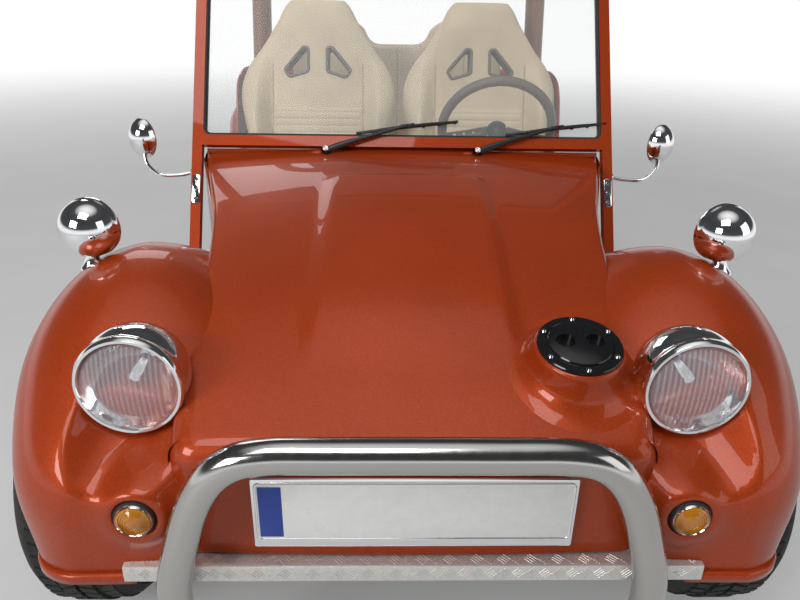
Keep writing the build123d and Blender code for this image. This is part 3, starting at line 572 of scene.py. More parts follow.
def flake_group():
    """Metal flake: a light-dark mask that differs from cell to cell."""
    name = "Metal flake"
    if name in bpy.data.node_groups:
        return bpy.data.node_groups[name]
    tree, source, sink = group_tree(name, (("Scale", 1400.0),), (("Mask", "NodeSocketFloat"),))
    where = tree.nodes.new("ShaderNodeTexCoord")
    cells = tree.nodes.new("ShaderNodeTexVoronoi")
    split = tree.nodes.new("ShaderNodeSeparateColor")
    tree.links.new(where.outputs["Object"], cells.inputs["Vector"])
    tree.links.new(source.outputs["Scale"], cells.inputs["Scale"])
    tree.links.new(cells.outputs["Color"], split.inputs["Color"])
    tree.links.new(split.outputs["Red"], sink.inputs["Mask"])
    return tree


def pores_group():
    """Leather pores and creases as a height."""
    name = "Leather pores"
    if name in bpy.data.node_groups:
        return bpy.data.node_groups[name]
    tree, source, sink = group_tree(
        name, (("Scale", 420.0), ("Crease", 30.0)), (("Height", "NodeSocketFloat"),)
    )
    where = tree.nodes.new("ShaderNodeTexCoord")
    cells = add_node(tree, "ShaderNodeTexVoronoi", feature="DISTANCE_TO_EDGE")
    noise = tree.nodes.new("ShaderNodeTexNoise")
    mix = add_node(tree, "ShaderNodeMath", operation="MULTIPLY_ADD")
    mix.inputs[1].default_value = 0.35
    tree.links.new(where.outputs["Object"], cells.inputs["Vector"])
    tree.links.new(where.outputs["Object"], noise.inputs["Vector"])
    tree.links.new(source.outputs["Scale"], cells.inputs["Scale"])
    tree.links.new(source.outputs["Crease"], noise.inputs["Scale"])
    tree.links.new(cells.outputs["Distance"], mix.inputs[0])
    tree.links.new(noise.outputs["Fac"], mix.inputs[2])
    tree.links.new(mix.outputs["Value"], sink.inputs["Height"])
    return tree


def use_group(mat, tree, **values):
    node = mat.node_tree.nodes.new("ShaderNodeGroup")
    node.node_tree = tree
    for key, value in values.items():
        node.inputs[key.replace("_", " ")].default_value = value
    return node


def link(mat, source, target):
    """Joins two sockets of a material."""
    mat.node_tree.links.new(source, target)


def shader_of(mat):
    return mat.node_tree.nodes["shader"]


def mix_colours(mat, mask, dark, light):
    """Two colours mixed by a mask, into the base colour."""
    mix = add_node(mat.node_tree, "ShaderNodeMix", data_type="RGBA")
    mix.inputs[6].default_value = (*dark, 1)
    mix.inputs[7].default_value = (*light, 1)
    link(mat, mask, mix.inputs[0])
    link(mat, mix.outputs[2], shader_of(mat).inputs["Base Color"])
    return mix


def bump_from(mat, height, strength, distance):
    """Feeds a height into the shader as fine relief."""
    bump = mat.node_tree.nodes.new("ShaderNodeBump")
    bump.inputs["Strength"].default_value = strength
    bump.inputs["Distance"].default_value = distance
    link(mat, height, bump.inputs["Height"])
    link(mat, bump.outputs["Normal"], shader_of(mat).inputs["Normal"])
    return bump


def scaled(colour, factor):
    """A colour made lighter or darker."""
    return tuple(min(1.0, c * factor) for c in colour)


def body_paint(name, colour, flake):
    """Metallic paint under a clear coat, with flake and a slow change of tone."""
    mat = new_material(name, Metallic=0.30, Roughness=0.42, Specular_IOR_Level=0.15, Coat_Weight=0.55,
                       Coat_Roughness=0.03)
    cells = use_group(mat, flake_group(), Scale=1500.0)
    clouds = use_group(mat, grain_group(), Scale=3.0, Detail=2.0, Low=0.9, High=1.05)
    mix = mix_colours(mat, cells.outputs["Mask"], scaled(colour, 1 - flake), scaled(colour, 1 + flake))
    shade = add_node(mat.node_tree, "ShaderNodeMix", data_type="RGBA", blend_type="MULTIPLY")
    shade.inputs[0].default_value = 1.0
    link(mat, mix.outputs[2], shade.inputs[6])
    link(mat, clouds.outputs["Mask"], shade.inputs[7])
    link(mat, shade.outputs[2], shader_of(mat).inputs["Base Color"])
    return mat


def polished(name, colour, roughness, wear=0.03):
    """Chrome or polished steel, with faint streaks in its gloss."""
    mat = new_material(name, Base_Color=colour, Metallic=1.0, Roughness=roughness)
    grain = use_group(mat, grain_group(), Scale=60.0, Detail=5.0, Low=roughness, High=roughness + wear)
    link(mat, grain.outputs["Mask"], shader_of(mat).inputs["Roughness"])
    return mat


def plain_finish(name, colour, roughness, metallic=0.0, grain_scale=120.0, spread=0.12, bump=0.0):
    """Moulded or painted surface with a small change of tone and gloss."""
    mat = new_material(name, Metallic=metallic, Roughness=roughness)
    grain = use_group(mat, grain_group(), Scale=grain_scale, Detail=4.0)
    mix_colours(mat, grain.outputs["Mask"], scaled(colour, 1 - spread), scaled(colour, 1 + spread))
    low, high = roughness * 0.9, roughness * 1.1
    gloss = use_group(mat, grain_group(), Scale=grain_scale / 3, Detail=3.0, Low=low, High=high)
    link(mat, gloss.outputs["Mask"], shader_of(mat).inputs["Roughness"])
    if bump:
        bump_from(mat, grain.outputs["Mask"], 0.4, bump)
    return mat


def clear_glass(name, colour, alpha):
    """Thin clear sheet: mostly see-through, with a sharp reflection."""
    mat = new_material(name, Base_Color=colour, Roughness=0.02, Alpha=alpha, IOR=1.5)
    grain = use_group(mat, grain_group(), Scale=8.0, Detail=3.0, Low=0.01, High=0.05)
    link(mat, grain.outputs["Mask"], shader_of(mat).inputs["Roughness"])
    return mat


def leather(name, colour):
    """Leather with pores, creases and a slightly uneven gloss."""
    mat = new_material(name, Roughness=0.5, Sheen_Weight=0.08)
    tone = use_group(mat, grain_group(), Scale=9.0, Detail=5.0)
    mix_colours(mat, tone.outputs["Mask"], scaled(colour, 0.92), scaled(colour, 1.05))
    pores = use_group(mat, pores_group(), Scale=380.0, Crease=26.0)
    bump_from(mat, pores.outputs["Height"], 0.35, 0.0012)
    gloss = use_group(mat, grain_group(), Scale=45.0, Detail=4.0, Low=0.42, High=0.6)
    link(mat, gloss.outputs["Mask"], shader_of(mat).inputs["Roughness"])
    return mat


def lens_plastic(name, colour):
    """Glossy coloured plastic of a lamp lens."""
    mat = new_material(name, Base_Color=colour, Roughness=0.12, Coat_Weight=0.6, Coat_Roughness=0.04)
    grain = use_group(mat, grain_group(), Scale=30.0, Detail=3.0)
    mix_colours(mat, grain.outputs["Mask"], scaled(colour, 0.85), scaled(colour, 1.1))
    return mat


def make_materials(settings):
    paint = tuple(settings.paint)
    return {
        "paint": body_paint("copper_paint", paint, settings.flake),
        "bar": body_paint("brown_bar_paint", (0.20, 0.07, 0.03), 0.15),
        "chrome": polished("chrome", (0.86, 0.86, 0.87), 0.04),
        "steel": polished("polished_steel", (0.52, 0.51, 0.49), 0.10, 0.08),
        "aluminium": plain_finish("tread_aluminium", (0.70, 0.68, 0.65), 0.34, 0.7, 200.0, 0.06),
        "glass": clear_glass("windscreen_clear", (0.8, 0.86, 0.86), 0.10),
        "lens": clear_glass("lamp_glass", (0.85, 0.9, 0.97), 0.11),
        "mirror": polished("mirror_glass", (0.62, 0.66, 0.70), 0.02, 0.01),
        "gloss": plain_finish("gloss_black", (0.008, 0.008, 0.009), 0.12, 0.0, 260.0, 0.2),
        "rubber": plain_finish("black_rubber", (0.018, 0.018, 0.018), 0.62, 0.0, 300.0, 0.2),
        "tyre": plain_finish("tyre_rubber", (0.022, 0.021, 0.020), 0.78, 0.0, 90.0, 0.3, 0.0008),
        "black": plain_finish("satin_black", (0.012, 0.012, 0.013), 0.35, 0.0, 260.0, 0.2),
        "leather": leather("cream_leather", tuple(settings.leather)),
        # seam piping is the seat leather darkened to 0.72: painted shade along the seams and sewn channels
        "seam": leather("cream_seam_painted_shade", scaled(tuple(settings.leather), 0.72)),
        "trim": plain_finish("brown_plastic", (0.14, 0.10, 0.08), 0.45, 0.0, 200.0, 0.15),
        "plate": plain_finish("plate_white", (0.80, 0.80, 0.78), 0.3, 0.0, 60.0, 0.03),
        "blue": plain_finish("plate_blue", (0.015, 0.05, 0.32), 0.3, 0.0, 60.0, 0.05),
        "amber": lens_plastic("amber_lens", (0.48, 0.18, 0.008)),
        "red": lens_plastic("red_lens", (0.45, 0.012, 0.012)),
        "alloy": plain_finish("cast_alloy", (0.42, 0.42, 0.41), 0.5, 0.9, 150.0, 0.12, 0.0006),
        "chassis": plain_finish("chassis_black", (0.02, 0.02, 0.02), 0.5, 0.0, 40.0, 0.3),
        "iron": plain_finish("cast_steel", (0.10, 0.10, 0.10), 0.55, 0.7, 120.0, 0.2),
        "wheel": plain_finish("wheel_silver", (0.55, 0.55, 0.55), 0.3, 0.8, 200.0, 0.05),
    }


MATS = {}


def dome_profile(rise, mouth, count=10):
    """Profile of a dome: from its pole to its mouth."""
    ball = (mouth * mouth + rise * rise) / (2 * rise)
    half = atan2(mouth, ball - rise)
    turns = [half * k / count for k in range(count + 1)]
    return [(ball * sin(a), rise - ball * (1 - cos(a))) for a in turns]


# Hood: cross-sections along the car
# columns: y, half width, edge height, crown height
HOOD_ROWS = (
    (-1.640, 0.413, 0.602, 0.611),
    (-1.500, 0.413, 0.660, 0.670),
    (-1.240, 0.424, 0.748, 0.761),
    (-1.000, 0.456, 0.806, 0.823),
    (-0.760, 0.517, 0.842, 0.862),
    (-0.550, 0.572, 0.858, 0.876),
)
NOSE_Y = -1.640
NOSE_FOOT = 0.399
NOSE_ROUND = 0.058
NOSE_LEAN = radians(22)
NOSE_CROWN = 0.009
hood_half = through(HOOD_ROWS, 1)
hood_edge = through(HOOD_ROWS, 2)
hood_crown = through(HOOD_ROWS, 3)
DOME_HALF, DOME_EDGE, DOME_RISE, DOME_CORNER = 0.197, 0.022, 0.011, 0.035
DOME_BACK, DOME_FADE = -0.803, (-1.50, -1.33)


def hood_height(x, y):
    """Height of the hood's skin over a point, with its raised centre panel."""
    base = hood_edge(y) + (hood_crown(y) - hood_edge(y)) * (1 - (x / hood_half(y)) ** 2)
    past_side = max(abs(x) - (DOME_HALF - DOME_CORNER), 0)
    past_back = max(y - DOME_BACK + DOME_CORNER, 0)
    outside = np.hypot(past_side, past_back) - DOME_CORNER
    return base + DOME_RISE * (1 - step(outside, -DOME_EDGE, DOME_EDGE)) * step(y, *DOME_FADE)


def hood_sections():
    """Cross-sections as (y, height, tilt): up the nose's face, over its round, then back with no height."""
    start = NOSE_Y + NOSE_ROUND * (1 - sin(NOSE_LEAN))
    middle = hood_crown(start) - NOSE_ROUND * cos(NOSE_LEAN)
    sections = [(NOSE_Y, z, 0.0) for z in np.linspace(NOSE_FOOT, middle, 9)]
    for k in range(1, 10):
        a = (pi / 2 - NOSE_LEAN) * k / 10
        sections.append((NOSE_Y + NOSE_ROUND * (1 - cos(a)), middle + NOSE_ROUND * sin(a), a))
    runs = (np.linspace(start, -0.86, 70), np.linspace(-0.85, -0.76, 16), np.linspace(-0.75, -0.55, 14))
    return sections + [(y, None, pi / 2) for y in np.concatenate(runs)]


def hood_across(inner):
    """Places across a section, closest together at the edge of the raised panel."""
    panel = 0.25
    right = np.concatenate([np.linspace(0, 0.17, 12), np.linspace(0.18, 0.215, 8), np.linspace(0.23, 1, 16)])
    even = np.unique(np.concatenate([-right, right]))
    spread = np.sign(even) * (panel + (abs(even) - panel) / (1 - panel) * (inner - panel))
    return np.clip(np.where(abs(even) < panel, even, spread), -inner, inner)


def build_hood():
    """Hood and nose as one skin, with a turned-down flange along each side."""
    grid = []
    for y, z, tilt in hood_sections():
        half = float(hood_half(y))
        corner = 0.014 + 0.034 * (1 - float(step(y, -1.62, -1.50)))
        inner = half - corner
        normal = Vector((0, -cos(tilt), sin(tilt)))
        line = []
        for x in hood_across(inner):
            if z is None:
                line.append(Vector((x, y, float(hood_height(x, y)))))
            else:
                line.append(Vector((x, y, z)) - normal * NOSE_CROWN * (x / half) ** 2)
        flange = 0.080 if z is not None else 0.034 + 0.10 * (1 - float(step(y, -1.1, -0.8)))
        turns = [pi / 2 * k / 6 for k in range(1, 7)]
        drops = [(inner + corner * sin(b), -corner * (1 - cos(b))) for b in turns]
        drops += [(half, -corner - flange * 0.5), (half, -corner - flange)]
        right = [Vector((x, line[-1].y, line[-1].z)) + normal * drop for x, drop in drops]
        left = [Vector((-p.x, p.y, p.z)) for p in reversed(right)]
        grid.append(left + line + right)
    hood = grid_piece("hood_skin", grid)
    solidify(hood, SKIN)
    sharp_by_angle(hood, 50)
    return hood


FILLER_TOP = Vector((0.289, -1.490, 0.730))
FILLER_AXIS = Vector((0, -sin(radians(14)), cos(radians(14))))


def build_boss():
    """Raised seat of the filler, running out into the hood in a fillet."""
    turn = frame_of(FILLER_AXIS)
    rings = []
    fillet = ((0.125, -0.002), (0.116, 0.0012), (0.106, 0.004), (0.097, 0.010), (0.090, 0.018),
              (0.0845, 0.029))
    for radius, above_hood in fillet:
        ring = turned_ring(FILLER_TOP, turn, radius, -0.03, 64)
        for point in ring:
            point.z = float(hood_height(point.x, point.y)) + above_hood
        rings.append(ring)
    for radius, height in ((0.081, -0.012), (0.0795, -0.004), (0.077, 0.0), (0.06, 0.0)):
        rings.append(turned_ring(FILLER_TOP, turn, radius, height, 64))
    return grid_piece("filler_boss", rings, wrap_v=True)


# Fenders: radial sections around the axle
# columns: angle from the rear, crown radius, valley dip, flat reaches x, outer x
FRONT_FENDER_ROWS = (
    (173, 0.420, 0.006, 0.588, 0.672),
    (167, 0.428, 0.010, 0.586, 0.682),
    (152, 0.466, 0.022, 0.574, 0.710),
    (132, 0.450, 0.036, 0.565, 0.728),
    (110, 0.460, 0.046, 0.572, 0.742),
    (90, 0.478, 0.060, 0.575, 0.745),
    (60, 0.480, 0.050, 0.570, 0.742),
    (30, 0.480, 0.020, 0.550, 0.712),
    (4, 0.480, 0.000, 0.540, 0.640),
)
REAR_FENDER_ROWS = (
    (176, 0.470, 0.0, 0.650, 0.690),
    (150, 0.472, 0.0, 0.670, 0.790),
    (120, 0.475, 0.0, 0.690, 0.836),
    (90, 0.478, 0.0, 0.700, 0.840),
    (55, 0.470, 0.0, 0.690, 0.836),
    (22, 0.455, 0.0, 0.670, 0.800),
)
FRONT_INNER, FRONT_ARCH = 0.386, 0.356
REAR_INNER, REAR_ARCH = 0.606, 0.385
SHOULDER_SAG = 0.13
LIP_START = 0.47
LAMP = Vector((0.480, -1.541, 0.683))
LAMP_SIZE = 0.92
LAMP_SEAT, LAMP_SEAT_BACK, LAMP_SEAT_SLOPE = 0.093, 0.012, 1.7
FLASHER = Vector((0.461, -1.640, 0.496))


def fender_line(inner, crown, dip, flat, outer, arch, count):
    """Section of a fender as (x, radius) pairs: valley, crest, shoulder, lip."""
    out = [(inner + (flat - inner) * k / count, crown - dip * (1 - k / count) ** 2) for k in range(count)]
    run = sqrt((outer - flat) ** 2 + (arch - crown) ** 2)
    sag = SHOULDER_SAG * run
    radius = (run * run / 4 + sag * sag) / (2 * sag)
    half = 2 * atan2(2 * sag, run)
    mx, mr = (flat + outer) / 2, (crown + arch) / 2
    nx, nr = (crown - arch) / run, (outer - flat) / run
    cx, cr = mx - nx * (radius - sag), mr - nr * (radius - sag)
    base = atan2(nr, nx)
    for k in range(count + 1):
        a = base + half * (1 - 2 * k / count)
        out.append((cx + radius * cos(a), cr + radius * sin(a)))
    out.append((outer - 0.008, arch - 0.004))
    out.append((outer - 0.022, arch - 0.004))
    return out


def fender_point(axle, angle, x, radius):
    """A point of a radial section: angle from the rear about the axle, place across and radius."""
    return Vector((x, axle.y + cos(angle) * radius, axle.z + sin(angle) * radius))


def press_lamp_seat(point):
    """Pushes the skin back round the lamp, flat under its rim and sloping out beyond it."""
    away = sqrt((point.x - LAMP.x) ** 2 + (point.z - LAMP.z) ** 2)
    floor = LAMP.y + LAMP_SEAT_BACK - max(0.0, away - LAMP_SEAT) * LAMP_SEAT_SLOPE
    if away < 0.2:
        point.y = max(point.y, floor)


def build_fender(name, axle, rows, inner, arch, steps, has_lamp):
    """A fender from its radial sections, as a skin with its wall."""
    columns = [through(rows, k) for k in range(1, 5)]
    grid = []
    for angle in np.linspace(rows[0][0], rows[-1][0], steps):
        crown, dip, flat, outer = (float(column(angle)) for column in columns)
        section = fender_line(inner, crown, dip, flat, outer, arch, 22)
        line = [fender_point(axle, radians(angle), x, radius) for x, radius in section]
        if has_lamp:
            for point in line:
                press_lamp_seat(point)
        grid.append(line)
    fender = grid_piece(name, grid)
    solidify(fender, SKIN)
    sharp_by_angle(fender, 55)
    return fender


def build_flasher_seat(fender):
    """Domed seat of the indicator, growing out of the fender in a fillet."""
    tree = surface_tree(fender)
    front = FLASHER.y - 0.0200
    ahead_of_nose, fender_front, hidden = -2.2, -1.45, FLASHER.y + 0.02
    turn = frame_of((0, -1, 0))
    rings = []
    fillet = ((0.094, -0.02), (0.090, 0.0), (0.081, 0.06), (0.073, 0.18), (0.066, 0.36), (0.060, 0.56),
              (0.0545, 0.76), (0.0495, 0.91), (0.0450, 0.98), (0.0410, 1.0))
    for radius, rise in fillet:
        ring = turned_ring(FLASHER, turn, radius, 0.0, 64)
        for point in ring:
            met = tree.ray_cast(Vector((point.x, ahead_of_nose, point.z)), Vector((0, 1, 0)))[0]
            skin = met.y if met is not None and met.y < fender_front else hidden
            point.y = skin + (min(front, skin - 0.004) - skin) * rise
        rings.append(ring)
    for radius, back in ((0.0375, 0.0012), (0.0355, 0.0045), (0.0350, 0.010), (0.0348, 0.034)):
        rings.append(turned_ring(FLASHER, turn, radius, FLASHER.y - front - back, 64))
    return grid_piece("indicator_seat", rings, wrap_v=True)


def build_lip():
    """Rolled flange along the foot of the fender's front, beside the tread-plate strip."""
    angle, crown, dip, flat, outer = FRONT_FENDER_ROWS[0]
    roll = ((0.0, 0.006), (0.010, 0.004), (0.013, 0.000), (0.013, -0.014), (0.009, -0.015), (0.007, -0.002),
            (0.0, -0.001))
    rings = []
    for x, radius in fender_line(FRONT_INNER, crown, dip, flat, outer, FRONT_ARCH, 22)[:-2]:
        if x > LIP_START:
            point = fender_point(FRONT_AXLE, radians(angle), x, radius - 0.003)
            rings.append([point + Vector((0, -ahead, rise)) for ahead, rise in roll])
    return grid_piece("front_lip", rings, wrap_v=True, cap=True)


class BUGGY_OT_body(bpy.types.Operator):
    """Hood, fenders and tub in metallic paint."""

    bl_idname = "buggy.body"
    bl_label = "Body panels"

    def execute(self, context):
        hood = join("hood_panel", [build_hood(), build_boss()])
        place(paint_with(hood, MATS["paint"]), "chassis", "body_paint", "hood")
        front = build_fender("front_skin", FRONT_AXLE, FRONT_FENDER_ROWS, FRONT_INNER, FRONT_ARCH, 120, True)
        front = join("front_fender_panel_left", [front, build_flasher_seat(front), build_lip()])
        rear_name = "rear_fender_panel_left"
        rear = build_fender(rear_name, REAR_AXLE, REAR_FENDER_ROWS, REAR_INNER, REAR_ARCH, 90, False)
        for left, node in ((front, "front_fender"), (rear, "rear_fender")):
            right = mirror_copy(left, f"{node}_panel_right")
            for piece, side in ((left, "left"), (right, "right")):
                place(paint_with(piece, MATS["paint"]), "chassis", "body_paint", f"{node}_{side}")
        for node in ("side_left", "side_right", "rear_tub", "dashboard", "windscreen_frame"):
            paint_with(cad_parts[node], MATS["paint"])
        return {"FINISHED"}


FLUTES, FLUTE_PITCH, FLUTE_POINTS = 17, 0.0094, 13
GLASS_REACH, GLASS_RIM = 0.083, 0.0882


def build_flutes(centre):
    """Upright ribs behind the glass, each following its dome."""
    flutes = []
    for k in range(FLUTES):
        x = (k - (FLUTES - 1) / 2) * FLUTE_PITCH
        reach = sqrt(max(0.0, GLASS_REACH**2 - x * x))
        path = []
        for z in np.linspace(-reach, reach, FLUTE_POINTS):
            dish = -0.0262 + (x * x + z * z) / GLASS_RIM**2 * 0.0148
            path.append(centre + Vector((x, dish, z)) * LAMP_SIZE)
        flutes.append(tube("flute", path, 0.0020, 6))
    return flutes


class BUGGY_OT_lamps(bpy.types.Operator):
    """Chrome bowls, reflectors and fluted glasses."""

    bl_idname = "buggy.lamps"
    bl_label = "Headlamps"

    def execute(self, context):
        bowl = [(r, h + 0.005) for r, h in dome_profile(0.125, 0.098, 24)]
        rim = [(0.0985, 0.0), (0.1005, -0.006), (0.1000, -0.013), (0.0965, -0.018), (0.0915, -0.018),
               (0.089, -0.013), (0.0885, -0.004)]
        reflector = [(0.083, 0.006), (0.077, 0.030), (0.062, 0.056), (0.040, 0.074), (0.0, 0.086)]
        bulb = [(0.0, 0.02), (0.010, 0.022), (0.012, 0.03), (0.012, 0.075)]
        glass = [(0.0, -0.030), (0.02, -0.0292), (0.045, -0.0255), (0.068, -0.0205), (0.083, -0.0155),
                 (0.0882, -0.011), (0.0882, -0.007), (0.083, -0.0115), (0.068, -0.0165), (0.045, -0.0215),
                 (0.0, -0.026)]
        shells, lenses = [], []
        for side in (-1, 1):
            centre = Vector((side * LAMP.x, LAMP.y, LAMP.z))
            turned = ((shells, bowl + rim + reflector, 96), (shells, bulb, 24), (lenses, glass, 96))
            for group, profile, steps in turned:
                sized = [(r * LAMP_SIZE, h * LAMP_SIZE) for r, h in profile]
                group.append(lathe("turned", sized, centre, (0, 1, 0), steps))
            lenses += build_flutes(centre)
        shell = paint_with(join("headlamp_bowls", shells), MATS["chrome"])
        place(shell, "chassis", "chrome_trim", "headlamp_shells")
        glasses = paint_with(join("headlamp_glasses", lenses), MATS["lens"])
        place(glasses, "chassis", "clear_glass", "headlamp_lenses")
        return {"FINISHED"}


STRIP_LEFT, STRIP_RIGHT, STRIP_TOP, STRIP_FOOT = -0.495, 0.504, 0.3945, 0.3625
STRIP_FRONT, STRIP_BACK = -1.6630, -1.628
TREAD_PITCH, TREAD_COUNT = 0.0473, 21


def tread_bars(seat):
    """Two groups of four raised bars, crossed, on a seat of the angle."""
    bars = []
    for spot, turned in ((0.0, 45), (0.0238, -45)):
        group = seat @ Matrix.Translation((spot, 0, 0)) @ Matrix.Rotation(radians(turned), 4, "Z")
        for k in range(4):
            bar = block("bar", (-0.0085, -0.0009, -0.0003), (0.0085, 0.0009, 0.0010), 0)
            bar.data.transform(group @ Matrix.Translation((0, (k - 1.5) * 0.0050, 0)))
            bars.append(bar)
    return bars


def build_strip():
    """Angle of tread plate on the nose's foot, with its raised pattern by Geometry Nodes."""
    top, foot, front, back = STRIP_TOP, STRIP_FOOT, STRIP_FRONT, STRIP_BACK
    section = ((back, top), (front + 0.004, top), (front + 0.001, top - 0.001), (front, top - 0.004),
               (front, foot), (front + 0.003, foot), (front + 0.003, top - 0.004), (back, top - 0.003))
    ends = [[(x, y, z) for y, z in section] for x in (STRIP_LEFT, STRIP_RIGHT)]
    angle = grid_piece("strip_angle", ends, wrap_v=True, cap=True)
    sharp_by_angle(angle, 30)
    first = STRIP_LEFT + 0.014
    on_top = Matrix.Translation((first, (front + back) / 2, top))
    on_face = Matrix.Translation((first, front, (top + foot) / 2)) @ Matrix.Rotation(radians(90), 4, "X")
    bars = join("pattern", tread_bars(on_top) + tread_bars(on_face))
    pattern = repeat(bars, "along", TREAD_COUNT, (TREAD_PITCH, 0, 0), MATS["aluminium"])
    return join("tread_plate_strip", [paint_with(angle, MATS["aluminium"]), pattern])


def build_bar():
    """Polished bull bar: one leg from its foot up to the middle, and its mirror image."""
    half = [(0.405, -1.654, 0.20), (0.4075, -1.674, 0.28), (0.399, -1.690, 0.39), (0.373, -1.694, 0.49),
            (0.340, -1.694, 0.575), (0.296, -1.694, 0.628), (0.235, -1.694, 0.648), (0.12, -1.694, 0.650)]
    path = along([(-x, y, z) for x, y, z in half] + half[::-1], 12)
    return paint_with(tube("bull_bar_tube", path, 0.0287, 40), MATS["steel"])


def build_plate():
    """Blank number plate with its blue band, in a plated frame with a rolled edge."""
    face = block("plate_face", (-0.260, -1.6545, 0.451), (0.260, -1.6525, 0.561), 0.0008)
    blue = block("plate_band", (-0.258, -1.6550, 0.454), (-0.219, -1.6530, 0.558), 0.0008)
    back = block("plate_back", (-0.270, -1.653, 0.429), (0.270, -1.641, 0.571), 0.004)
    top, bottom, side = 0.5635, 0.4485, 0.262
    ring = rounded_loop([(side, top), (side, bottom), (-side, bottom), (-side, top)], 0.008)
    edge = tube("plate_edge", [(x, -1.6535, z) for x, z in [(0, top), *ring, (0, top)]], 0.0024, 10)
    finishes = ((face, "plate"), (blue, "blue"), (back, "chrome"), (edge, "chrome"))
    return join("number_plate_blank", [paint_with(piece, MATS[finish]) for piece, finish in finishes])


def turned_stack(rings, spot, axis, steps):
    """Turned pieces on one axis, each with its own finish."""
    return [paint_with(lathe("turned", profile, spot, axis, steps), MATS[finish])
            for profile, finish in rings]


class BUGGY_OT_front_bar(bpy.types.Operator):
    """Polished bar, tread-plate strip, number plate and indicators."""

    bl_idname = "buggy.front_bar"
    bl_label = "Bull bar and plate"

    def execute(self, context):
        place(build_bar(), "chassis", "stainless", "bull_bar")
        place(build_plate(), "chassis", "plate_white", "number_plate")
        place(build_strip(), "chassis", "plain_aluminium", "tread_strip")
        rings = (
            ([(0.0352, 0.0), (0.0352, 0.019), (0.0330, 0.0225), (0.0305, 0.021)], "rubber"),
            ([(0.0318, 0.010), (0.0318, 0.0235), (0.0300, 0.0265), (0.0282, 0.024)], "chrome"),
            ([(0.0285, 0.020), (0.0278, 0.0260), (0.0240, 0.0285), (0.0236, 0.0272), (0.0200, 0.0300),
              (0.0196, 0.0287), (0.0160, 0.0312), (0.0156, 0.0300), (0.0110, 0.0322), (0.0106, 0.0312),
              (0.0050, 0.0328), (0.0, 0.0330)], "amber"),
        )
        lamps = []
        for side in (-1, 1):
            lamps += turned_stack(rings, Vector((side * FLASHER.x, FLASHER.y, FLASHER.z)), (0, -1, 0), 48)
        place(join("indicator_lamps", lamps), "chassis", "amber_lens", "indicators")
        return {"FINISHED"}


RAKE = radians(28.6)
SCREEN_FOOT = Vector((0, -0.550, 0.904))
SCREEN_UP = Vector((0, sin(RAKE), cos(RAKE)))
SCREEN_OUT = Vector((0, -cos(RAKE), sin(RAKE)))


def on_screen(x, up, out=0.0):
    """A point on the raked windscreen plane."""
    return SCREEN_FOOT + Vector((x, 0, 0)) + SCREEN_UP * up + SCREEN_OUT * out


def screen_matrix(x, up, out):
    """Places a piece on the windscreen plane, with its Z axis out of the glass."""
    turn = Matrix((Vector((1, 0, 0)), SCREEN_UP, SCREEN_OUT)).transposed()
    return Matrix.Translation(on_screen(x, up, out)) @ turn.to_4x4()


def flat_bar(name, rail, widths, thickness, material):
    """A flat bar with rounded edges along points on the screen."""
    rings = []
    for (x, up, out), width in zip(rail, widths):
        rings.append([on_screen(x, up + width * cos(a), out + thickness * sin(a))
                      for a in np.linspace(0, 2 * pi, 14, endpoint=False)])
    return paint_with(grid_piece(name, rings, wrap_v=True, cap=True), material)


def build_wiper(pivot):
    """Spindle with a plated nut, and its arm, blade and painted pod."""
    foot = Vector((pivot, -0.590, 0.866))
    axis = Vector((0, -0.62, 0.78)).normalized()
    spindle = [(0.016, -0.004), (0.0155, 0.008), (0.0125, 0.013), (0.0125, 0.019)]
    nut = [(0.0088, 0.018), (0.0088, 0.0265), (0.0070, 0.029), (0.0050, 0.0292), (0.0050, 0.027), (0, 0.0268)]
    parts = [paint_with(lathe("spindle", spindle, foot, axis, 28), MATS["black"]),
             paint_with(lathe("nut", nut, foot, axis, 28, 30), MATS["chrome"])]
    return parts + [build_wiper_arm(pivot, foot + axis * 0.015), *build_blade(pivot), build_pod(foot)]


def build_wiper_arm(pivot, start):
    """Arm that rises from the spindle to the middle of its blade."""
    start_up, start_out = (start - SCREEN_FOOT).dot(SCREEN_UP), (start - SCREEN_FOOT).dot(SCREEN_OUT)
    reach, end_up, end_out = 0.233, 0.031, 0.027
    rail = []
    for t in np.linspace(0, 1, 25):
        out = start_out + (end_out - start_out) * min(1.0, t * 1.6)
        rail.append((pivot + reach * t, start_up + (end_up - start_up) * t**0.85, out))
    widths = np.interp(range(25), (0, 5, 9, 24), (0.0105, 0.0098, 0.0068, 0.0045))
    return flat_bar("arm", rail, widths, 0.0045, MATS["black"])


